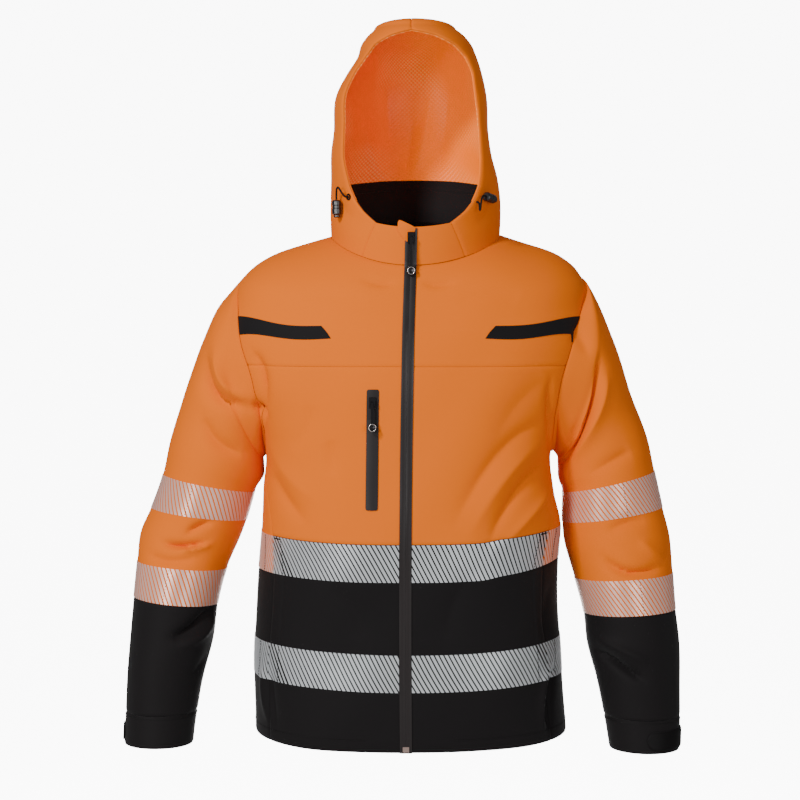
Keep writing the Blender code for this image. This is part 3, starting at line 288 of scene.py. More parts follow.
def body(around, height):
    """A point of the body: degrees from the front towards the wearer's left, and a height."""
    turn = np.radians(around)
    sine, cosine = np.sin(turn), np.cos(turn)
    middle, right, left, front, back, squareness = section(BODY_RINGS, height)
    power = 2.0 / squareness
    x = middle + np.sign(sine) * np.where(sine > 0, left, right) * np.abs(sine) ** power
    y = -np.sign(cosine) * np.where(cosine > 0, front, back) * np.abs(cosine) ** power
    fade = np.clip(1.0 - height / NECK_FADE, 0.0, 1.0)
    drop = NECK_DROP * np.clip(cosine, 0.0, 1.0) ** 1.5
    rise = NECK_RISE * np.clip(-cosine, 0.0, 1.0) ** 1.5
    near_waist = np.exp(-(((height - WAIST_BAND) / HIP_LIFT_SPREAD) ** 2))
    lift = HIP_LIFT * near_waist * np.clip(sine, 0.0, 1.0) ** 3
    near_hem = np.clip((HEM_BAND - height) / (HEM_BAND - HEM), 0.0, 1.0)
    lift += near_hem * (HEM_SIDE_LIFT * sine**4 - HEM_DIP * np.clip(cosine, 0.0, 1.0) ** 2)
    return np.stack([x, y, height + fade * (rise - drop) + lift], axis=-1)


# For each surface: its rings, the steps its normals are measured over, and the creases that cross it
RINGS = {body: BODY_RINGS}
STEPS = {body: (0.5, 0.001)}
CREASES_ON = {body: CREASES}


def outward(surface, across, along):
    """Unit normals of a surface, pointing away from the garment's inside."""
    step_across, step_along = STEPS[surface]
    one = surface(across + step_across, along) - surface(across - step_across, along)
    other = surface(across, along + step_along) - surface(across, along - step_along)
    normal = np.cross(one, other)
    normal[np.linalg.norm(normal, axis=-1) < 1e-9] = (0.0, 0.0, 1.0)
    return normal / np.linalg.norm(normal, axis=-1, keepdims=True)


def crease_heights(creases, points, normals):
    """How far the creases move each point out along its normal: deepest mid-way, fading at both ends."""
    moved = np.zeros(len(points))
    flat = points[:, [0, 2]]
    part = np.linspace(0.0, 1.0, 15)[:, None]
    for side, x1, z1, x2, z2, x3, z3, breadth, depth in creases:
        start, middle, end = np.array([x1, z1]), np.array([x2, z2]), np.array([x3, z3])
        bend = 2 * middle - (start + end) / 2
        line = (1 - part) ** 2 * start + 2 * part * (1 - part) * bend + part**2 * end
        low, high = line.min(axis=0) - 3 * breadth, line.max(axis=0) + 3 * breadth
        near = np.flatnonzero(((flat > low) & (flat < high)).all(axis=1) & (side * normals[:, 1] > 0))
        best = np.full(len(near), 1.0)
        share = np.zeros(len(near))
        for step in range(len(line) - 1):
            run = line[step + 1] - line[step]
            away = flat[near] - line[step]
            here = np.clip(away @ run / (run @ run), 0.0, 1.0)
            distance = np.linalg.norm(away - here[:, None] * run, axis=1)
            closer = distance < best
            best[closer] = distance[closer]
            share[closer] = (step + here[closer]) / (len(line) - 1)
        facing = np.clip(side * normals[near, 1] * 1.6, 0.0, 1.0)
        fade = np.sin(np.pi * np.clip(share, 0.02, 0.98)) ** 0.6
        moved[near] += facing * depth * fade * np.exp(-((best / breadth) ** 1.3))
    return moved


def ripple_heights(points):
    """Low, wide ripples that keep the cloth from looking moulded."""
    moved = np.zeros(len(points))
    for x, y, z, start, height in RIPPLES:
        moved += height * np.sin(points @ np.array([x, y, z]) * 2.0 + start + 3.0 * points[:, 0])
    return moved


def hump(height, middle, spread):
    """One at a height, fading above and below it."""
    return np.exp(-(((height - middle) / spread) ** 2))


def hang(points):
    """How far the skirt's weight pulls each point down, or a side seam holds it up."""
    across = np.abs(points[:, 0]) / 0.18
    kink = 0.5 + 0.5 * np.tanh((points[:, 0] - 0.112) / 0.010)
    waist, hem = WAIST_BAND + TAPE_WIDTH / 2, HEM_BAND + TAPE_WIDTH / 2
    held = 0.0065 * across**2.5 * hump(points[:, 2], waist, 0.05)
    held += (0.0045 * kink - 0.0012) * hump(points[:, 2], waist, 0.04)
    return held + (0.0095 * across**2 - 0.0045) * hump(points[:, 2], hem, 0.045)


def cloth_points(surface, across, along, lift=0.0):
    """Points of a surface with its creases and ripples, moved out by lift, and the normals there."""
    shape = across.shape
    across, along = across.ravel(), along.ravel()
    points = surface(across, along)
    normals = outward(surface, across, along)
    out = np.broadcast_to(lift, shape).ravel() + ripple_heights(points)
    out = out + crease_heights(CREASES_ON[surface], points, normals)
    points = points + normals * out[:, None]
    if surface is body:
        points[:, 2] += hang(points)
    return points.reshape(*shape, 3), normals.reshape(*shape, 3)


def between(low, high, step, edges=(0.0008, 0.0020, 0.0040)):
    """Places from low to high, closer together near both ends, where the seams turn the cloth in."""
    count = max(2, round((high - low - 2 * edges[-1]) / step))
    inner = np.linspace(low + edges[-1], high - edges[-1], count + 1)
    return np.concatenate([[low], low + np.array(edges[:-1]), inner, high - np.array(edges[-2::-1]), [high]])


def seam_roll(distance, depth=0.0009, reach=0.0016):
    """How far the cloth turns in beside a seam."""
    return -depth * np.exp(-((distance / reach) ** 2))


def lengths(line):
    """How far along a line each of its points lies."""
    return np.concatenate([[0.0], np.cumsum(np.linalg.norm(np.diff(line, axis=0), axis=1))])


def linked(name, mesh, *materials):
    """A finished piece that rides on the jacket."""
    for material in materials:
        mesh.materials.append(material)
    mesh.shade_smooth()
    mesh.set_sharp_from_angle(angle=math.radians(50))
    made = placed(name, mesh)
    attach(made, "jacket")
    return made


def shell(name, grid, thickness, *materials, closed=False):
    """A thin closed wall on a grid of points and normals, with a UV map in metres."""
    points, normals = grid
    if closed:
        points, normals = points[:, :-1], normals[:, :-1]
    rows, columns = points.shape[:2]
    count = rows * columns
    index = np.arange(count).reshape(rows, columns)
    right = np.roll(index, -1, axis=1) if closed else index[:, 1:]
    left = index if closed else index[:, :-1]
    outer = np.stack([left[:-1], right[:-1], right[1:], left[1:]], axis=-1).reshape(-1, 4)
    around = np.concatenate([index[0], index[1:, -1], index[-1, -2::-1], index[-2:0:-1, 0]])
    rims = []
    for loop, way in [(index[0], 1), (index[-1], -1)] if closed else [(around, 1)]:
        after = np.roll(loop, -1)
        rims.append(np.stack([after, loop, loop + count, after + count], axis=-1)[:, ::way])
    faces = np.concatenate([outer, outer[:, ::-1] + count] + rims)
    corners = np.concatenate([points.reshape(-1, 3), (points - thickness * normals).reshape(-1, 3)])
    a, b, c = (corners[outer[:, i]] for i in (0, 1, 2))
    facing = np.einsum("ij,ij->i", np.cross(b - a, c - a), normals.reshape(-1, 3)[outer[:, 0]]).sum()
    if facing < 0:
        faces = faces[:, ::-1]
    mesh = bpy.data.meshes.new(name)
    mesh.from_pydata(corners.tolist(), [], faces.tolist())
    across, along = lengths(points[rows // 2]), lengths(points[:, columns // 2])
    flat = np.stack([np.tile(across, rows), np.repeat(along, columns)], axis=-1)
    layer = mesh.uv_layers.new(name="cut")
    layer.data.foreach_set("uv", np.concatenate([flat, flat])[faces.ravel()].ravel())
    made = linked(name, mesh, *materials)
    made["cut_width"] = float(np.linalg.norm(np.diff(points, axis=1), axis=-1).sum(axis=1).max())
    made["cut_length"] = float(np.linalg.norm(np.diff(points, axis=0), axis=-1).sum(axis=0).max())
    return made


def as_cloth(made):
    """Works out a panel's flat size and its area, from its outer face."""
    area = sum(face.area for face in made.data.polygons) / 2
    width, length = made["cut_width"] + 0.004, made["cut_length"] + 0.004
    area = min(max(area, 0.31 * width * length), width * length)


def as_sheet(made, node):
    """Hides the CAD node that a panel stands for, and works out the panel's flat size and area."""
    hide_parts(node)
    as_cloth(made)


def added(tree, kind, inputs, **settings):
    """A new node with its settings made and its inputs fed."""
    made = tree.nodes.new(kind)
    for name, value in settings.items():
        setattr(made, name, value)
    feed(tree, made, inputs)
    return made


def fabric(name, colour, roughness, grain, sheen=0.0, glow=0.0):
    """Matte softshell: a fine woven grain in the bump, slight fuzz, and a painted glow in the cloth's own
    colour, standing in for the dye's fluorescence and lifting its shadows.
    """
    made = shader(name, colour, roughness, sheen=sheen, specular=0.15, glow=glow, shine=colour)
    tree = made.node_tree
    place = added(tree, "ShaderNodeTexCoord", {}).outputs["Object"]
    weave = added(tree, "ShaderNodeTexNoise", {"Vector": place, "Scale": grain, "Detail": 3.0}).outputs["Fac"]
    bump = added(tree, "ShaderNodeBump", {"Height": weave, "Strength": 0.35, "Distance": 0.0002})
    feed(tree, tree.nodes["Principled BSDF"], {"Normal": bump.outputs["Normal"]})
    return made


BLACK_DYE = (0.0052, 0.0040, 0.0044)
# The orange cloth glows faintly in its own colour: painted light for the dye's fluorescence.
orange_cloth = fabric("orange_cloth", (0.78, 0.150, 0.0), 0.78, 1400.0, glow=0.02)
black_cloth = fabric("black_cloth", BLACK_DYE, 0.72, 1400.0, sheen=0.05)


def zip_angle(surface, heights, offset=0.0):
    """The angle from the front where the zip's line crosses each height, plus an offset across."""
    rings = RINGS[surface]
    away = profile(ZIP_LINE, "offset", heights) + offset - profile(rings, "middle", heights)
    side = np.where(away > 0, profile(rings, "left", heights), profile(rings, "right", heights))
    power = profile(rings, "squareness", heights) / 2.0 if surface is body else 1.0
    return np.degrees(np.arcsin(np.sign(away) * (np.abs(away) / side) ** power))


def armhole_angle(widest, heights):
    """How far the armhole's edge lies from the side, at each height above the underarm."""
    share = np.clip((heights - UNDERARM) / (SHOULDER - UNDERARM), 0.0, 1.0)
    return widest * np.sin(np.pi * share) ** ARMHOLE_FULLNESS


def side_angle(heights):
    """The front panels' outer edge: the side seam, the armhole, or the shoulder seam."""
    seam = np.clip(profile(SIDE_SEAM, "angle", heights), 0.0, 90.0)
    return 90.0 - np.where(heights < UNDERARM, seam, armhole_angle(ARMHOLE_FRONT, heights))


def back_angle(heights):
    """The back panels' outer edge, at the same heights."""
    return np.where(heights < UNDERARM, side_angle(heights), 90.0 + armhole_angle(ARMHOLE_BACK, heights))


def metric(surface, heights, angle, length):
    """The angle that spans a length across the surface at each height."""
    step = np.linalg.norm(surface(angle + 0.5, heights) - surface(angle - 0.5, heights), axis=-1)
    return length / np.maximum(step, 1e-6)


def front_angles(side, rows):
    """The front's edges: beside the zip's line, and at the side seam, armhole or shoulder seam."""
    outer = side_angle(rows)
    outer = side * (outer - metric(body, rows, side * outer, SEAM / 2))
    return zip_angle(body, rows, side * SEAM / 2), outer


def back_angles(rows):
    """The back's edges, from the wearer's left to the right."""
    edge = back_angle(rows)
    left = edge + metric(body, rows, edge, SEAM / 2)
    return left, 360.0 - edge - metric(body, rows, -edge, SEAM / 2)


def spread(first, last, share, rows):
    """Coordinates of a grid: at each row, shares of the way between two edges."""
    across = first[:, None] + (last - first)[:, None] * share[None, :]
    return across, np.repeat(rows[:, None], len(share), axis=1)


def panel(edges, rows, step, lift=0.0):
    """A grid of the body between two edges, turned in beside the seams all round it."""
    first, last = edges
    middle = len(rows) // 2
    ends = body(np.array([first[middle], last[middle]]), rows[[middle, middle]])
    width = max(np.linalg.norm(ends[1] - ends[0]), abs(last[middle] - first[middle]) / RADIAN * 0.12)
    share = between(0.0, width, step) / width
    from_side = np.minimum(share, 1.0 - share) * width
    from_end = np.minimum(np.abs(rows - rows[0]), np.abs(rows[-1] - rows))
    rolled = lift + seam_roll(from_side)[None, :] + seam_roll(from_end)[:, None]
    return cloth_points(body, *spread(first, last, share, rows), rolled)


SIDES = (("right", -1), ("left", 1))
BODY_PARTS = (
    ("skirt", HEM, WAIST_SEAM, HEM, WAIST_BAND, black_cloth, "black_softshell", "back_skirt"),
    ("chest", WAIST_SEAM, YOKE_SEAM, WAIST_BAND, YOKE_SEAM, orange_cloth, "orange_softshell", "back_panel"),
    ("yoke", YOKE_SEAM, NECK, YOKE_SEAM, NECK, orange_cloth, "orange_softshell", "back_yoke"),
)
for part, front_low, front_high, back_low, back_high, cloth, slot, back_node in BODY_PARTS:
    for side, sign in SIDES:
        rows = between(front_low + SEAM / 2, front_high - SEAM / 2, ROW_STEP)
        grid = panel(front_angles(sign, rows), rows, ROW_STEP)
        as_sheet(shell(f"{side}_front_{part}_cloth", grid, CLOTH, cloth), f"front_{part}_{side}")
    rows = between(back_low + SEAM / 2, back_high - SEAM / 2, ROW_STEP)
    grid = panel(back_angles(rows), rows, ROW_STEP)
    as_sheet(shell(f"back_{part}_cloth", grid, CLOTH, cloth), back_node)


# Sleeves, forearms and cuffs
# Each sleeve is a tube of the same softshell: orange to the wrist tape, then black. It is set into the
# armhole, and its black cuff closes with a hook-and-loop tab.
FOREARM_START, CUFF_START, CUFF_END = 11, 14, 15
STATION_GAP, STATION_LENGTH = 0.005, 0.046
AROUND_STEPS = 132
# Slanted rings down each sleeve: its outer and inner edges, its middle and depth, and its bowed front
SLEEVE_COLUMNS = ("outer_x", "outer_z", "inner_x", "inner_z", "middle_y", "depth", "bow")
RIGHT_RINGS = table(
    SLEEVE_COLUMNS,
    (-0.2385, -0.073, -0.2000, -0.303, 0.002, 0.077, 0.018),
    (-0.262, -0.100, -0.2000, -0.309, 0.004, 0.078, 0.015),
    (-0.281, -0.143, -0.2000, -0.315, 0.006, 0.077, 0.011),
    (-0.295, -0.184, -0.2000, -0.321, 0.008, 0.075, 0.007),
    (-0.311, -0.232, -0.2010, -0.329, 0.009, 0.072, 0.003),
    (-0.328, -0.282, -0.2070, -0.338, 0.008, 0.070, 0.000),
    (-0.338, -0.326, -0.2130, -0.350, 0.007, 0.068, 0.000),
    (-0.353, -0.372, -0.2220, -0.389, 0.004, 0.067, 0.000),
    (-0.366, -0.406, -0.2310, -0.418, 0.000, 0.066, 0.000),
    (-0.370, -0.444, -0.2460, -0.455, -0.006, 0.066, 0.000),
    (-0.375, -0.492, -0.2605, -0.503, -0.014, 0.063, 0.000),
    (-0.379, -0.540, -0.2680, -0.549, -0.024, 0.060, 0.000),
    (-0.382, -0.590, -0.2785, -0.596, -0.036, 0.056, 0.000),
    (-0.383, -0.643, -0.2840, -0.643, -0.048, 0.052, 0.000),
    (-0.384, -0.685, -0.2895, -0.685, -0.058, 0.049, 0.000),
)
LEFT_RINGS = table(
    SLEEVE_COLUMNS,
    (0.247, -0.064, 0.2025, -0.303, 0.002, 0.077, 0.018),
    (0.263, -0.097, 0.2030, -0.309, 0.004, 0.078, 0.015),
    (0.278, -0.136, 0.2035, -0.315, 0.006, 0.077, 0.011),
    (0.295, -0.180, 0.2040, -0.321, 0.008, 0.075, 0.007),
    (0.310, -0.226, 0.2045, -0.329, 0.009, 0.072, 0.003),
    (0.328, -0.277, 0.2070, -0.338, 0.008, 0.070, 0.000),
    (0.338, -0.322, 0.2120, -0.351, 0.007, 0.069, 0.000),
    (0.350, -0.371, 0.2140, -0.392, 0.004, 0.069, 0.000),
    (0.361, -0.412, 0.2170, -0.424, 0.000, 0.069, 0.000),
    (0.364, -0.460, 0.2280, -0.468, -0.006, 0.067, 0.000),
    (0.365, -0.509, 0.2410, -0.515, -0.014, 0.064, 0.000),
    (0.368, -0.553, 0.2450, -0.556, -0.024, 0.060, 0.000),
    (0.369, -0.600, 0.2560, -0.602, -0.036, 0.056, 0.000),
    (0.370, -0.649, 0.2650, -0.649, -0.048, 0.052, 0.000),
    (0.368, -0.692, 0.2720, -0.692, -0.058, 0.049, 0.000),
)


def armhole(side, around):
    """Where the armhole runs on the body: 0 degrees at the shoulder, 90 in front, 180 under the arm."""
    turn = np.radians(around)
    share = (1.0 + np.cos(turn)) / 2.0
    widest = np.where(np.sin(turn) > 0, ARMHOLE_FRONT, -ARMHOLE_BACK)
    from_side = widest * np.clip(np.sin(np.pi * share), 0.0, 1.0) ** ARMHOLE_FULLNESS
    return side * (90.0 - from_side), UNDERARM + share * (SHOULDER - UNDERARM)


def sleeve(side, levels, around, station):
    """A point of a sleeve: degrees round from its outer edge over the front, and its station."""
    turn = np.radians(around)
    outwards, forwards = np.cos(turn), np.sin(turn)
    rings = [body(*armhole(side, around))]
    for outer_x, outer_z, inner_x, inner_z, middle_y, depth, bow in zip(*levels.values()):
        x = (outer_x + inner_x) / 2 + outwards * (outer_x - inner_x) / 2 + side * bow * forwards**2
        z = (outer_z + inner_z) / 2 + outwards * (outer_z - inner_z) / 2
        rings.append(np.stack([x, middle_y - depth * forwards, z], axis=-1))
    return smooth_between(np.arange(len(rings), dtype=float), np.array(rings), station)


def right_sleeve(around, station):
    return sleeve(-1, RIGHT_RINGS, around, station)


def left_sleeve(around, station):
    return sleeve(1, LEFT_RINGS, around, station)


SLEEVES = {"right": right_sleeve, "left": left_sleeve}
# The right sleeve's rings turn the other way round, so its step across is negative.
STEPS.update({right_sleeve: (-0.5, 0.05), left_sleeve: (0.5, 0.05)})
CREASES_ON.update({right_sleeve: CREASES, left_sleeve: CREASES})


def tube_grid(surface, stations):
    """A closed ring of points at each station along a sleeve, turned in beside its end seams."""
    around = np.linspace(0.0, 360.0, AROUND_STEPS + 1)
    across, along = np.meshgrid(around, stations)
    from_end = np.minimum(stations - stations[0], stations[-1] - stations) * STATION_LENGTH
    lift = np.zeros(across.shape) + seam_roll(from_end)[:, None]
    points, normals = cloth_points(surface, across, along, lift)
    if stations[0] == 0.0:
        side = 1 if surface is left_sleeve else -1
        seam, seam_normals = cloth_points(body, *armhole(side, around), lift[0])
        away = surface(around, np.full(len(around), 0.1)) - surface(around, np.zeros(len(around)))
        points[0] = seam + away / np.linalg.norm(away, axis=-1, keepdims=True) * 2 * SEAM
        both = normals[0] + seam_normals
        normals[0] = both / np.linalg.norm(both, axis=-1, keepdims=True)
    points[:, -1], normals[:, -1] = points[:, 0], normals[:, 0]
    return points, normals


def stations_between(low, high):
    """Stations down a sleeve, closer together near the seams."""
    return between(low, high, 0.075, tuple(part / STATION_LENGTH for part in (0.0008, 0.0020, 0.0040)))


SLEEVE_PARTS = (
    ("sleeve", 0.0, FOREARM_START - STATION_GAP, orange_cloth, "orange_softshell"),
    ("forearm", FOREARM_START + STATION_GAP, CUFF_START - STATION_GAP, black_cloth, "black_softshell"),
    ("cuff", CUFF_START + STATION_GAP, CUFF_END, black_cloth, "black_softshell"),
)
for side, surface in SLEEVES.items():
    for part, start, end, cloth, slot in SLEEVE_PARTS:
        tube = tube_grid(surface, stations_between(start, end))
        as_sheet(shell(f"{side}_{part}_cloth", tube, CLOTH, cloth, closed=True), f"{part}_{side}")


# Hood, collar and their linings
# Two orange halves meet over the crown. The hood's lining is an orange laminate embossed with a fine
# diamond mesh, and the collar's lining and chin guard are softshell. All are sewn in at the neck seam.
COLLAR_TOP, CROWN, HOOD_MIDDLE = 0.050, 0.293, 0.004
HOOD_ROUND, HOOD_STEPS = 0.11, 96
LINING, LINING_START = 0.0012, 0.066
SUNK = -(CLOTH + SEAM)
COLLAR_SEAM_ANGLES = (36.0, 25.0)
HOOD_RINGS = table(
    ("height", "middle", "right", "left", "front", "back", "shift", "squareness"),
    (0.000, 0.004, 0.110, 0.120, 0.104, 0.090, 0.000, 2.0),
    (0.025, 0.004, 0.112, 0.121, 0.107, 0.092, 0.002, 2.0),
    (0.050, 0.004, 0.112, 0.121, 0.110, 0.099, 0.004, 2.0),
    (0.080, 0.004, 0.110, 0.118, 0.110, 0.108, 0.007, 2.3),
    (0.110, 0.004, 0.108, 0.111, 0.108, 0.116, 0.010, 2.7),
    (0.140, 0.004, 0.103, 0.107, 0.106, 0.121, 0.013, 2.9),
    (0.190, 0.004, 0.100, 0.103, 0.107, 0.123, 0.016, 2.8),
    (0.218, 0.004, 0.088, 0.096, 0.106, 0.118, 0.018, 2.6),
    (0.242, 0.004, 0.075, 0.088, 0.102, 0.106, 0.019, 2.4),
    (0.262, 0.004, 0.069, 0.079, 0.096, 0.087, 0.018, 2.2),
    (0.277, 0.004, 0.055, 0.064, 0.080, 0.064, 0.014, 2.0),
    (0.288, 0.004, 0.036, 0.041, 0.050, 0.038, 0.008, 2.0),
    (0.293, 0.004, 0.000, 0.000, 0.000, 0.000, 0.000, 2.0),
)
FACE_EDGE = table(
    ("height", "angle"),
    (0.050, 25.0), (0.053, 29.0), (0.058, 35.0), (0.066, 41.0), (0.080, 47.0), (0.110, 54.0), (0.140, 57.5),
    (0.190, 57.0), (0.218, 56.0), (0.238, 51.0), (0.252, 41.0), (0.264, 23.0), (0.271, 0.0),
)
# Inside the hood, on the lining's back, and on the outside of its crown and back
HOOD_CREASES = (
    (1, -0.033, 0.225, -0.028, 0.180, -0.026, 0.130, 0.012, 0.0040),
    (1, 0.036, 0.215, 0.027, 0.150, 0.012, 0.095, 0.011, -0.0060),
    (1, 0.060, 0.215, 0.052, 0.150, 0.045, 0.090, 0.012, 0.0045),
    (1, 0.010, 0.170, 0.004, 0.130, 0.000, 0.095, 0.010, 0.0045),
    (1, -0.060, 0.170, -0.052, 0.120, -0.030, 0.080, 0.012, -0.0035),
    (-1, 0.092, 0.214, 0.096, 0.190, 0.098, 0.165, 0.006, -0.0030),
    (-1, -0.098, 0.070, -0.092, 0.040, -0.070, 0.020, 0.008, -0.0022),
    (-1, 0.112, 0.060, 0.108, 0.035, 0.090, 0.015, 0.008, -0.0022),
)


def hood(around, height):
    """A point of the collar and the hood above the neck seam."""
    turn = np.radians(around)
    sine, cosine = np.sin(turn), np.cos(turn)
    middle, right, left, front, back, shift, squareness = np.maximum(section(HOOD_RINGS, height), 0.0)
    power = np.where(cosine > 0, 2.0 / squareness, 1.0)
    x = middle + np.where(sine > 0, left, right) * np.sign(sine) * np.abs(sine) ** power
    y = shift - np.where(cosine > 0, front, back) * np.sign(cosine) * np.abs(cosine) ** power
    fade = np.clip(1.0 - (height - COLLAR_TOP) / 0.10, 0.0, 1.0)
    drop = NECK_DROP * np.clip(cosine, 0.0, 1.0) ** 1.5
    rise = NECK_RISE * np.clip(-cosine, 0.0, 1.0) ** 1.5 * np.clip(1.0 - height / 0.20, 0.0, 1.0)
    return np.stack([x, y, height + rise - fade * drop], axis=-1)


RINGS[hood] = HOOD_RINGS
STEPS[hood] = (0.5, 0.001)
CREASES_ON[hood] = HOOD_CREASES


def face_angle(heights):
    """The hood's front edge: the collar's seam below, the face opening above."""
    seam = COLLAR_SEAM_ANGLES[0] + heights / COLLAR_TOP * (COLLAR_SEAM_ANGLES[1] - COLLAR_SEAM_ANGLES[0])
    return np.where(heights < COLLAR_TOP, seam, np.interp(heights, FACE_EDGE["height"], FACE_EDGE["angle"]))


def hood_rows(low, high):
    """Heights up the hood, closer together at the face opening's corners and over the crown."""
    parts = [(0.0, 0.050, 15), (0.050, 0.080, 14), (0.080, 0.238, 44), (0.238, 0.271, 18), (0.271, CROWN, 12)]
    rows = np.unique(np.concatenate([np.linspace(a, b, n + 1) for a, b, n in parts]).round(6))
    rows = rows[(rows > low + 0.0004) & (rows < high - 0.0004)]
    return np.concatenate([[low], rows, [high]])


def hood_half(sign, rows, lift, space):
    """One half of the hood. Its columns run from the right to the left, over the back seam."""
    edge = sign * face_angle(rows)
    first = np.where(rows <= COLLAR_TOP, edge + sign * metric(hood, rows, edge, space), edge)
    share = np.concatenate([[0.0, 0.006, 0.014, 0.026], np.linspace(0.04, 1.0, HOOD_STEPS - 3)])
    across, along = spread(first, np.full(len(rows), sign * 180.0), share, rows)
    from_edge = np.abs(across - first[:, None]) / RADIAN * HOOD_ROUND
    rolled = lift + seam_roll(from_edge, 0.0012, 0.0022)
    points, normals = cloth_points(hood, across, along, rolled)
    half = sign * (points[..., 0] - HOOD_MIDDLE)
    points[..., 0] = HOOD_MIDDLE + sign * np.maximum(half, space)
    normals[half < SEAM, 0] = 0.0
    normals /= np.linalg.norm(normals, axis=-1, keepdims=True)
    return points[:, ::-sign], normals[:, ::-sign]


def collar_front(sign, rows, lift, space):
    """The collar between the zip and the hood's seam, in the same order."""
    outer = sign * face_angle(np.minimum(rows, COLLAR_TOP - 1e-6))
    outer = outer - sign * metric(hood, rows, outer, space)
    inner = zip_angle(hood, rows, sign * space)
    points, normals = cloth_points(hood, *spread(inner, outer, np.linspace(0.0, 1.0, 21), rows), lift)
    return points[:, ::-sign], normals[:, ::-sign]


def side_by_side(grids):
    """One grid from several, each of which starts on the last one's edge."""
    return tuple(
        np.concatenate([part[0]] + [later[:, 1:] for later in part[1:]], axis=1) for part in zip(*grids)
    )


def lining_halves(rows):
    """Both halves of the hood's shape, just inside its cloth."""
    return [hood_half(sign, rows, SUNK, 0.0) for sign in (-1, 1)]


def collar_lining_grid(low, high, with_fronts):
    """The collar's lining, whole below the collar's top and only behind the hood's edges above it."""
    rows = np.linspace(low, high, max(4, int((high - low) / 0.003)))
    if not with_fronts:
        return side_by_side(lining_halves(rows))
    right, left = (collar_front(sign, rows, SUNK, 0.0) for sign in (-1, 1))
    clear_of_zip = tuple(part[:, 1:] for part in right)
    return side_by_side([clear_of_zip, *lining_halves(rows), left])


def embossed(name, colour, roughness):
    """A laminate with a raised diamond mesh, laid out on the cut's own flat sizes, with painted highlights
    and a painted glow.
    """
    made = shader(name, colour, roughness, specular=0.35, glow=1.0)
    tree = made.node_tree
    place = added(tree, "ShaderNodeUVMap", {}, uv_map="cut").outputs["UV"]
    ridges = {}
    for spot, turn in enumerate((45.0, -45.0)):
        rotation = (0.0, 0.0, math.radians(turn))
        turned = added(tree, "ShaderNodeMapping", {"Vector": place, "Rotation": rotation})
        wave = added(tree, "ShaderNodeTexWave", {"Vector": turned.outputs["Vector"], "Scale": 74.0})
        ridges[spot] = wave.outputs["Fac"]
    most = added(tree, "ShaderNodeMath", ridges, operation="MAXIMUM").outputs["Value"]
    bump = added(tree, "ShaderNodeBump", {"Height": most, "Strength": 0.6, "Distance": 0.0006})
    # Painted highlights: the colour is lightened at the mesh's crossings, where they catch the light in some
    # places more than in others.
    crossing = added(tree, "ShaderNodeMath", ridges, operation="MULTIPLY").outputs["Value"]
    patches = added(tree, "ShaderNodeTexNoise", {"Vector": place, "Scale": 9.0, "Detail": 1.0}).outputs["Fac"]
    patch_range = {"Value": patches, "From Min": 0.45, "From Max": 0.72}
    shown = added(tree, "ShaderNodeMapRange", patch_range).outputs["Result"]
    shining = added(tree, "ShaderNodeMath", {0: crossing, 1: shown}, operation="MULTIPLY").outputs["Value"]
    highlight_colours = {"Factor": shining, "A": (*colour, 1.0), "B": (1.0, 0.62, 0.22, 1.0)}
    highlighted_colour = added(tree, "ShaderNodeMix", highlight_colours, data_type="RGBA").outputs["Result"]
    # Painted light: the lining glows, more on the wearer's left, standing in for the dye's fluorescence and
    # for the daylight that falls inside the hood, brighter on that side.
    centre = added(tree, "ShaderNodeTexCoord", {}).outputs["Object"]
    x = added(tree, "ShaderNodeSeparateXYZ", {"Vector": centre}).outputs["X"]
    x_range = {"Value": x, "From Min": -0.062, "From Max": 0.040}
    leftwards = added(tree, "ShaderNodeMapRange", x_range, interpolation_type="SMOOTHSTEP").outputs["Result"]
    painted_glow_colours = {"Factor": leftwards, "A": (0.05, 0.0, 0.0, 1.0), "B": (0.24, 0.07, 0.0, 1.0)}
    glow = added(tree, "ShaderNodeMix", painted_glow_colours, data_type="RGBA").outputs["Result"]
    final = {"Normal": bump.outputs["Normal"], "Base Color": highlighted_colour, "Emission Color": glow}
    feed(tree, tree.nodes["Principled BSDF"], final)
    return made


lining_laminate = embossed("lining_laminate", (0.92, 0.170, 0.0), 0.42)
for side, sign in SIDES:
    grid = hood_half(sign, hood_rows(SEAM / 2, CROWN), 0.0, SEAM / 2)
    as_sheet(shell(f"{side}_hood_cloth", grid, CLOTH, orange_cloth), f"hood_{side}")
    grid = collar_front(sign, hood_rows(SEAM / 2, COLLAR_TOP), 0.0, SEAM / 2)
    made = shell(f"{side}_collar_front_cloth", grid, CLOTH, orange_cloth)
    as_sheet(made, f"collar_front_{side}")

grid = side_by_side(lining_halves(hood_rows(LINING_START, CROWN)))
lining = shell("hood_lining_cloth", grid, LINING, lining_laminate)
as_sheet(lining, "hood_lining")
grid = collar_lining_grid(SEAM, COLLAR_TOP - SEAM, True)
collar_low = shell("collar_lining_cloth", grid, LINING, black_cloth)
grid = collar_lining_grid(COLLAR_TOP, LINING_START - SEAM, False)
collar_high = shell("collar_lining_top", grid, LINING, black_cloth)
as_sheet(collar_low, "collar_lining")
as_cloth(collar_high)

# A narrow tape covers the neck seam inside: orange towards the shell, black towards the neck.
NECK_TAPE_SUNK = -0.0042
NECK_TAPE_ROWS = {body: (-0.007, -0.005, -0.003, -0.001), hood: (0.001, 0.002, 0.0035, 0.005)}
around = np.linspace(7.0, 353.0, 174)
both_sides = [
    cloth_points(surface, *np.meshgrid(around, heights), NECK_TAPE_SUNK)
    for surface, heights in NECK_TAPE_ROWS.items()
]
neck_grid = tuple(np.concatenate(pair) for pair in zip(*both_sides))
neck_tape = shell("neck_seam_tape", neck_grid, 0.0005, orange_cloth, black_cloth)
inside = np.ones(len(neck_tape.data.polygons), int)
inside[: (len(neck_grid[0]) - 1) * (len(around) - 1)] = 0
neck_tape.data.polygons.foreach_set("material_index", inside)

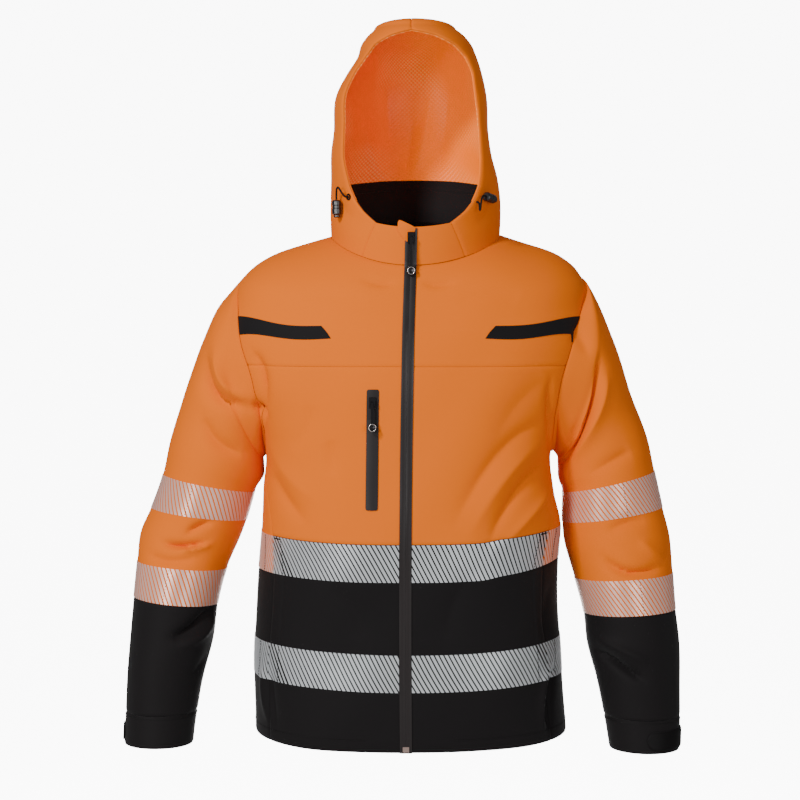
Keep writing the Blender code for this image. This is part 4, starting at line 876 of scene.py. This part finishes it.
# The chin guard's four corners as angle and height: beside the slider, outside, folded tip, inside
GUARD_CORNERS = np.array([(-2.6, 0.0285), (-9.6, 0.0445), (3.6, 0.0490), (-8.6, 0.0570)])
guard_over, guard_up = np.meshgrid(np.linspace(0.0, 1.0, 19), np.linspace(0.0, 1.0, 19))
# Its corners are rounded by pulling the edges' ends inwards.
guard_up = 0.5 + (guard_up - 0.5) * (1.0 - 0.16 * (2.0 * guard_over - 1.0) ** 4)
guard_over = 0.5 + (guard_over - 0.5) * (1.0 - 0.16 * (2.0 * guard_up - 1.0) ** 4)
low_edge, high_edge = (
    start + (end - start) * guard_up[..., None] for start, end in GUARD_CORNERS.reshape(2, 2, 2)
)
flap = low_edge + (high_edge - low_edge) * guard_over[..., None]
swell = 0.0022 + 0.0022 * np.sin(np.pi * guard_up) * guard_over + 0.0008 * guard_over
guard = shell("chin_guard_cloth", cloth_points(hood, flap[..., 0], flap[..., 1], swell), CLOTH, orange_cloth)
as_sheet(guard, "chin_guard")


# Reflective tape
# Segmented silver tape, heat-pressed on the cloth: slanted bars of glass-beaded film with the cloth
# showing between them. It runs round the waist, the hem, and each sleeve twice.
BAR_PITCH, BAR_WIDTH, NARROW_SHARE = 0.0063, 0.0042, 0.72
BAR_LIFT, BAR_THICKNESS, BAR_ROWS = 0.00065, 0.00045, 10
SLANT = TAPE_WIDTH * math.tan(math.radians(28.0))
TAPE_SPACE, TAPE_FOLD = 0.0004, 0.019


def bars(name, surface, place, length, material, flip=False, narrow=(0.0, 0.0)):
    """Slanted bars along a tape. place(distance, share of width) gives coordinates on the surface."""
    corners, faces = [], []
    for start in np.arange(-SLANT, length, BAR_PITCH) + 0.0004:
        width = BAR_WIDTH * (NARROW_SHARE if narrow[0] < start + SLANT / 2 < narrow[1] else 1.0)
        # A bar cut off by the tape's end stops where its own edge meets it.
        low = max(0.0, 1.004 - (length - start) / SLANT)
        high = min(1.0, 0.996 + (start + width) / SLANT)
        if high - low < 0.02:
            continue
        turns = (1.0 - (length - start - width) / SLANT, 1.0 + start / SLANT)
        inner = [value for value in turns if low + 0.01 < value < high - 0.01]
        share = np.unique(np.concatenate([np.linspace(low, high, BAR_ROWS + 1), inner]))
        left = start + (1.0 - share) * SLANT
        distance = np.clip(np.stack([left, left + width]), 0.0, length)
        if flip:
            distance = length - distance[::-1]
        across, along = place(distance, np.stack([share, share]))
        total, size = sum(len(part) for part in corners), len(share)
        for lift in (BAR_LIFT, BAR_LIFT - BAR_THICKNESS):
            corners.append(cloth_points(surface, across, along, lift)[0].reshape(-1, 3))
        (a, b), (c, d) = (total + np.arange(4 * size)).reshape(2, 2, size).tolist()
        for here in range(size - 1):
            after = here + 1
            faces += [(a[here], b[here], b[after], a[after]), (c[after], d[after], d[here], c[here])]
            faces += [(a[here], a[after], c[after], c[here]), (b[after], b[here], d[here], d[after])]
        faces += [(b[0], a[0], c[0], d[0]), (a[-1], b[-1], d[-1], c[-1])]
    mesh = bpy.data.meshes.new(name)
    mesh.from_pydata(np.concatenate(corners).tolist(), [], faces)
    shape = bmesh.new()
    shape.from_mesh(mesh)
    bmesh.ops.recalc_face_normals(shape, faces=shape.faces)
    shape.to_mesh(mesh)
    shape.free()
    return linked(name, mesh, material)


def body_place(edges, low, high):
    """Turns distance along a tape on the body, and the share of its height, into coordinates."""
    middle = np.array([(low + high) / 2.0])
    first, last = (edge[0] for edge in edges(middle))
    angles = np.linspace(first, last, 240)
    distance = lengths(body(angles, np.full(240, middle[0])))

    def place(along_tape, share):
        share_across = (np.interp(along_tape, distance, angles) - first) / (last - first)
        heights = low + (high - low) * share
        start, end = edges(heights.ravel())
        across = start + (end - start) * share_across.ravel()
        return across.reshape(heights.shape), heights

    return place, distance[-1]


def sleeve_place(surface, low, high):
    """Turns distance round a sleeve, and the share of the tape's width, into coordinates."""
    angles = np.linspace(0.0, 360.0, 181)
    distance = lengths(surface(angles, np.full(181, (low + high) / 2.0)))

    def place(along_tape, share):
        return np.interp(along_tape, distance, angles), high + (low - high) * share

    return place, distance[-1]


def film(name, colour, roughness, metallic):
    """Glass-beaded reflective film: pale grey, with a soft metallic lustre."""
    made = shader(name, colour, roughness, metallic=metallic)
    tree = made.node_tree
    place = added(tree, "ShaderNodeTexCoord", {}).outputs["Object"]
    noise = added(tree, "ShaderNodeTexNoise", {"Vector": place, "Scale": 28.0, "Detail": 2.0}).outputs["Fac"]
    uneven = {"Value": noise, "To Min": roughness - 0.08, "To Max": roughness + 0.10}
    worn = added(tree, "ShaderNodeMapRange", uneven).outputs["Result"]
    feed(tree, tree.nodes["Principled BSDF"], {"Roughness": worn})
    return made


def stands_for(made, node):
    """Hides the CAD node whose place a piece takes."""
    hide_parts(node)


def front_tape_edges(sign):
    """A front tape's two edges, from left to right of the front view."""

    def edges(heights):
        inner = zip_angle(body, heights, sign * (ZIP_WIDTH / 2 + TAPE_SPACE))
        outer = front_angles(sign, heights)[1]
        return (inner, outer) if sign > 0 else (outer, inner)

    return edges


silver_film = film("silver_film", (0.60, 0.62, 0.64), 0.34, 0.45)
# Where the tape lies on orange cloth, its film is coloured warmer and pinker: painted reflection of the
# orange cloth around it.
film_with_orange_reflection = film("silver_film_orange_reflection", (0.74, 0.48, 0.40), 0.36, 0.35)
BODY_BANDS = (("waist", WAIST_BAND, film_with_orange_reflection), ("hem", HEM_BAND, silver_film))
for band, low, back_film in BODY_BANDS:
    low, high = low + TAPE_SPACE, low + TAPE_WIDTH - TAPE_SPACE
    for side, sign in SIDES:
        place, length = body_place(front_tape_edges(sign), low, high)
        folded = (length - TAPE_FOLD, length) if sign > 0 else (0.0, TAPE_FOLD)
        made = bars(f"{side}_front_{band}_tape", body, place, length, silver_film, narrow=folded)
        stands_for(made, f"{band}_band_front_{side}")
    place, length = body_place(back_angles, low, high)
    made = bars(f"back_{band}_tape", body, place, length, back_film)
    stands_for(made, f"{band}_band_back")
SLEEVE_BANDS = (("elbow", 7, 8), ("wrist", 10, 11 - 2 * STATION_GAP))
for side, surface in SLEEVES.items():
    for band, low, high in SLEEVE_BANDS:
        place, length = sleeve_place(surface, low, high)
        made = bars(f"{side}_{band}_tape", surface, place, length, film_with_orange_reflection, flip=side == "left")
        stands_for(made, f"{band}_band_{side}")


# Zips, pockets, flashes and tabs
# Water-repellent zips: two strips of laminated film over a hidden coil, edge to edge. Flashes, pocket
# welts and cuff tabs are black softshell, bonded or sewn on.
FILM_THICKNESS = 0.0008
ZIP_ROWS = {body: np.arange(HEM, NECK - 0.001, 0.0035), hood: np.linspace(0.0, COLLAR_TOP - 0.002, 14)}
laminate = shader("zip_laminate", (0.0165, 0.0130, 0.0132), 0.38, specular=0.30)
coil = shader("zip_coil", (0.010, 0.008, 0.008), 0.5)


def strip(name, surface_rows, first, last, lift, thickness, cloth, columns, crown=0.0004):
    """A strip beside the zip's line, over the body and up the collar, a little domed across."""
    share = np.linspace(0.0, 1.0, columns + 1)
    dome = lift + crown * np.sin(np.pi * share)[None, :]
    parts = []
    for surface, rows in surface_rows.items():
        inner, outer = zip_angle(surface, rows, first), zip_angle(surface, rows, last)
        parts.append(cloth_points(surface, *spread(inner, outer, share, rows), dome))
    return shell(name, tuple(np.concatenate(pair) for pair in zip(*parts)), thickness, cloth)


for side, sign in SIDES:
    half = sign * ZIP_WIDTH / 2
    made = strip(f"{side}_zip_film", ZIP_ROWS, sign * 0.00012, half, 0.0013, FILM_THICKNESS, laminate, 6)
    stands_for(made, f"zip_tape_{side}")
for side, sign in SIDES:
    made = strip(f"{side}_zip_backing", ZIP_ROWS, sign * -0.0001, sign * 0.0030, 0.0007, 0.0006, coil, 2, 0.0)

# The chest pocket's zip has the same film in one strip, with round ends and a slot for its slider, whose film
# is darker: painted shade of the slot's recess.
POCKET_MIDDLE, POCKET_HALF = 0.0445, 0.0080
POCKET_LOW, POCKET_HIGH, POCKET_SLOT = -0.3625, -0.2045, -0.2440
# Darker than the zip's film: painted shade in the slot's recess.
slot_shade_film = shader("zip_slot_shade", (0.009, 0.005, 0.005), 0.5, specular=0.3)


def pocket_strip(name, low, high, lift, cloth):
    """One stretch of the pocket's zip, narrower where it nears either end of the whole."""
    rows = low + (high - low) * (1.0 - np.cos(np.linspace(0.0, np.pi, 46))) / 2.0
    from_end = np.clip(np.minimum(rows - POCKET_LOW, POCKET_HIGH - rows) / 0.0035, 0.0, 1.0)
    half = POCKET_HALF * (0.72 + 0.28 * np.sqrt(1.0 - (1.0 - from_end) ** 2))
    first, last = -POCKET_MIDDLE - half, -POCKET_MIDDLE + half
    return strip(name, {body: rows}, first, last, lift, FILM_THICKNESS, cloth, 10)


made = pocket_strip("pocket_film", POCKET_LOW, POCKET_SLOT, 0.0012, laminate)
stands_for(made, "pocket_film")
made = pocket_strip("pocket_slot", POCKET_SLOT, POCKET_HIGH, 0.0009, slot_shade_film)

# Each flash runs from a slanted tip to the armhole: its lower and upper edges' heights there
FLASH_OUTER, FLASH_INNER, FLASH_TIP = (-0.1345, -0.1085), (-0.1385, -0.1190), (0.101, 0.114)
for side, sign in SIDES:
    share, edge = np.linspace(0.0, 1.0, 60), np.linspace(0.0, 1.0, 9)[:, None]
    inner, outer, tip = (low + (high - low) * edge for low, high in (FLASH_INNER, FLASH_OUTER, FLASH_TIP))
    wave = 0.0022 * np.sin(2.0 * np.pi * (share - 0.52))
    if side == "left":
        wave = wave - (1.0 - edge) * 0.0100 * np.clip((share - 0.93) / 0.05, 0.0, 1.0) ** 2
    along = inner + (outer - inner) * share + wave
    start = zip_angle(body, along[:, :1], sign * tip)
    end = front_angles(sign, along)[1] - sign * 0.6
    grid = cloth_points(body, start + (end - start) * share, along, 0.0007)
    stands_for(shell(f"{side}_flash", grid, 0.0006, black_cloth), f"flash_{side}")

WELT_WIDTH = 0.019
for side, sign in SIDES:
    rows = between(HEM_BAND + TAPE_WIDTH + 0.0006, WAIST_BAND - 0.0006, ROW_STEP)
    outer = front_angles(sign, rows)[1] - sign * 0.3
    inner = outer - sign * metric(body, rows, outer, WELT_WIDTH)
    made = shell(f"{side}_pocket_welt", panel((inner, outer), rows, 0.0030, 0.0010), 0.0009, black_cloth)
    stands_for(made, f"pocket_welt_{side}")

# Where each cuff tab starts and ends round its cuff, in degrees, and its edges as stations
CUFF_TABS = {"right": (-108.0, 18.0), "left": (-54.0, 90.0)}
TAB_LOW, TAB_HIGH = 14.34, 14.90
tab_cloth = fabric("tab_cloth", tuple(0.5 * value for value in BLACK_DYE), 0.6, 900.0)
for side, (start, end) in CUFF_TABS.items():
    share, width = np.linspace(0.0, 1.0, 49), np.linspace(0.0, 1.0, 13)[:, None]
    # Both corners of the tab's free end are rounded.
    narrow = 0.35 * (1.0 - np.sqrt(1.0 - np.clip((share - 0.90) / 0.10, 0.0, 1.0) ** 2))
    along = TAB_LOW + (TAB_HIGH - TAB_LOW) * (narrow + (1.0 - 2 * narrow) * width)
    across = np.zeros(along.shape) + start + (end - start) * share
    lift = 0.0022 + seam_roll(np.minimum(width, 1.0 - width) * 0.022, 0.0006, 0.0014)
    grid = cloth_points(SLEEVES[side], across, along, lift)
    stands_for(shell(f"{side}_cuff_tab", grid, 0.0016, tab_cloth), f"cuff_tab_{side}")


# Sliders, pulls and cord locks
# Die-cast sliders, pulls and eyelets with a dark plated finish, crimped on, a copper-coloured bottom
# stop, and cord locks moulded in black plastic. Each pull ends in a domed button with a bright rim.
FINISHES = (
    (
        shader("plated_metal", (0.05, 0.047, 0.05), 0.22, metallic=1.0),
        ("zip_slider", "zip_pull", "pocket_slider", "pocket_pull", "eyelet_right", "eyelet_left"),
    ),
    (
        shader("moulded_black", (0.006, 0.006, 0.007), 0.32),
        ("cord_lock_right", "cord_lock_left", "lock_plunger_right", "lock_plunger_left"),
    ),
    (shader("zip_stop_metal", (0.50, 0.36, 0.31), 0.35, metallic=0.8), ("zip_stop",)),
)
for finish, names in FINISHES:
    for name in names:
        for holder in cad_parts[name].material_slots:
            holder.material = finish

bright = shader("bright_rim", (0.62, 0.60, 0.58), 0.18, metallic=1.0)
RIM_RADIUS, RIM_THICKNESS, RIM_OUT = 0.0046, 0.0006, 0.0026
for name, body_name, pivot, length in (
    ("front_pull_rim", "front_pull", (0.00365, -0.11380, -0.00648), 0.043),
    ("chest_pull_rim", "chest_pull", (-0.04695, -0.15044, -0.22173), 0.032),
):
    bpy.ops.mesh.primitive_torus_add(
        major_radius=RIM_RADIUS, minor_radius=RIM_THICKNESS, major_segments=40, minor_segments=10,
        location=(pivot[0], pivot[1] - RIM_OUT, pivot[2] - length), rotation=(math.pi / 2, 0.0, 0.0),
    )
    made = bpy.context.object
    made.name = name
    bpy.ops.object.transform_apply(location=True, rotation=True, scale=True)
    made.data.materials.append(bright)
    bpy.ops.object.shade_smooth()
    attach(made, body_name)


# Stitches
# Black polyester thread: a line of lockstitch holds each folded end of the tape, with a bar tack at its
# top corner. The hem and the cuffs are turned in and held by one line each.
STITCH_LIFT = BAR_LIFT + 0.0003
thread_black = shader("thread_black", (0.004, 0.004, 0.004), 0.6, specular=0.2)


def stitch_tree():
    """Puts a short thread at equal steps along a line."""
    tree = bpy.data.node_groups.new("stitch_line", "GeometryNodeTree")
    tree.interface.new_socket("Line", in_out="INPUT", socket_type="NodeSocketGeometry")
    for label in ("Step", "Length", "Thickness"):
        tree.interface.new_socket(label, in_out="INPUT", socket_type="NodeSocketFloat")
    tree.interface.new_socket("Thread", in_out="INPUT", socket_type="NodeSocketMaterial")
    tree.interface.new_socket("Stitches", in_out="OUTPUT", socket_type="NodeSocketGeometry")
    given = added(tree, "NodeGroupInput", {}).outputs
    curve = added(tree, "GeometryNodeMeshToCurve", {"Mesh": given["Line"]}).outputs["Curve"]
    spacing = {"Curve": curve, "Length": given["Step"]}
    steps = added(tree, "GeometryNodeResampleCurve", spacing, mode="LENGTH").outputs["Curve"]
    sizes = {"Vertices": 6, "Depth": given["Length"], "Radius": given["Thickness"]}
    thread = added(tree, "GeometryNodeMeshCylinder", sizes).outputs["Mesh"]
    tangent = added(tree, "GeometryNodeInputTangent", {}).outputs["Tangent"]
    turned = added(tree, "FunctionNodeAlignRotationToVector", {"Vector": tangent}, axis="Z")
    copies = {"Points": steps, "Instance": thread, "Rotation": turned.outputs["Rotation"]}
    instances = added(tree, "GeometryNodeInstanceOnPoints", copies).outputs["Instances"]
    real = added(tree, "GeometryNodeRealizeInstances", {"Geometry": instances}).outputs["Geometry"]
    coloured = {"Geometry": real, "Material": given["Thread"]}
    finish = added(tree, "GeometryNodeSetMaterial", coloured).outputs["Geometry"]
    added(tree, "NodeGroupOutput", {"Stitches": finish})
    return tree


stitch_line = stitch_tree()


def stitched(name, lines, step, length, thickness):
    """Threads along each line of points, as one plain mesh."""
    edges, total = [], 0
    for line in lines:
        edges += [(total + k, total + k + 1) for k in range(len(line) - 1)]
        total += len(line)
    mesh = bpy.data.meshes.new(f"{name}_line")
    mesh.from_pydata(np.concatenate(lines).tolist(), edges, [])
    guide = placed(f"{name}_guide", mesh)
    grown = guide.modifiers.new("stitches", "NODES")
    grown.node_group = stitch_line
    values = {"Step": step, "Length": length, "Thickness": thickness, "Thread": thread_black}
    for item in stitch_line.interface.items_tree:
        if item.in_out == "INPUT" and item.name in values:
            grown[item.identifier] = values[item.name]
    bpy.context.view_layer.update()
    plain = bpy.data.meshes.new_from_object(guide.evaluated_get(bpy.context.evaluated_depsgraph_get()))
    plain.name = name
    bpy.data.objects.remove(guide)
    made = placed(name, plain)
    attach(made, "jacket")


def line_on(surface, across, along, lift):
    """Points of a line laid on the cloth."""
    across, along = np.broadcast_arrays(across, along)
    return cloth_points(surface, across[None, :], along[None, :], lift)[0][0]


for band, low, _ in BODY_BANDS:
    upright = np.linspace(low + 0.003, low + TAPE_WIDTH - 0.003, 24)
    reach = np.linspace(0.001, 0.0125, 12)
    top = np.full(12, upright[-1])
    lines, tacks = [], []
    for side, sign in SIDES:
        outer = front_angles(sign, upright)[1]
        fold = outer - sign * metric(body, upright, outer, TAPE_FOLD)
        lines.append(line_on(body, fold, upright, STITCH_LIFT))
        outer = front_angles(sign, top)[1]
        seam = outer - sign * metric(body, top, outer, TAPE_FOLD)
        tacks.append(line_on(body, seam + sign * metric(body, top, seam, reach), top, STITCH_LIFT))
    left_edge, right_edge = back_angles(upright)
    for behind in (left_edge + 9.0, right_edge - 9.0):
        lines.append(line_on(body, behind, upright, STITCH_LIFT))
    stitched(f"{band}_tape_stitches", lines, 0.0034, 0.0022, 0.00042)
    if band == "waist":
        stitched("waist_bar_tacks", tacks, 0.0009, 0.0012, 0.0009)

lines = [
    line_on(surface, 78.0, np.linspace(low + 0.06, high - 0.06, 20), STITCH_LIFT)
    for surface in SLEEVES.values() for _, low, high in SLEEVE_BANDS
]
stitched("sleeve_tape_stitches", lines, 0.0040, 0.0014, 0.00035)
hem_line = line_on(body, np.linspace(12.0, 348.0, 340), HEM + 0.016, 0.0002)
stitched("hem_stitches", [hem_line], 0.0036, 0.0026, 0.0003)
around = np.linspace(0.0, 360.0, 110)
cuff_lines = [line_on(surface, around, CUFF_START + 0.08, 0.0002) for surface in SLEEVES.values()]
stitched("cuff_stitches", cuff_lines, 0.0036, 0.0026, 0.0003)


# Hood cords
# A thin elastic cord leaves an eyelet on each side of the face opening, and goes into its barrel lock.
# A short tail hangs out of the lock's other end.
braid = shader("cord_braid", (0.006, 0.006, 0.006), 0.75, specular=0.2)
CORD_DIAMETER = 0.0026
CORD_ROUTES = {
    "right": (
        (-0.0798, -0.0711, 0.0489), (-0.0825, -0.0736, 0.0486), (-0.0851, -0.0750, 0.0499),
        (-0.0877, -0.0754, 0.0531), (-0.0901, -0.0750, 0.0570), (-0.0921, -0.0740, 0.0602),
        (-0.0937, -0.0726, 0.0615), (-0.0948, -0.0702, 0.0607), (-0.0955, -0.0668, 0.0587),
        (-0.0958, -0.0634, 0.0558), (-0.0960, -0.0608, 0.0525), (-0.0960, -0.0598, 0.0492),
        (-0.0959, -0.0598, 0.0456),
    ),
    "left": (
        (0.0898, -0.0763, 0.0419), (0.0926, -0.0793, 0.0417), (0.0940, -0.0825, 0.0394),
        (0.0943, -0.0858, 0.0353), (0.0942, -0.0885, 0.0316), (0.0946, -0.0898, 0.0301),
        (0.0952, -0.0894, 0.0318), (0.0957, -0.0878, 0.0358), (0.0964, -0.0853, 0.0409),
        (0.0973, -0.0821, 0.0459), (0.0987, -0.0787, 0.0495), (0.1006, -0.0754, 0.0506),
        (0.1030, -0.0721, 0.0498),
    ),
}
for side, route in CORD_ROUTES.items():
    curve = bpy.data.curves.new(f"{side}_hood_cord", "CURVE")
    curve.dimensions = "3D"
    curve.bevel_depth = CORD_DIAMETER / 2
    curve.bevel_resolution = 4
    curve.use_fill_caps = True
    curve.materials.append(braid)
    spline = curve.splines.new("POLY")
    spline.points.add(len(route) - 1)
    for point, place in zip(spline.points, route):
        point.co = (*place, 1.0)
    made = placed(f"{side}_hood_cord", curve)
    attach(made, "jacket")
    stands_for(made, f"hood_cord_{side}")
    length = sum(math.dist(a, b) for a, b in zip(route, route[1:]))
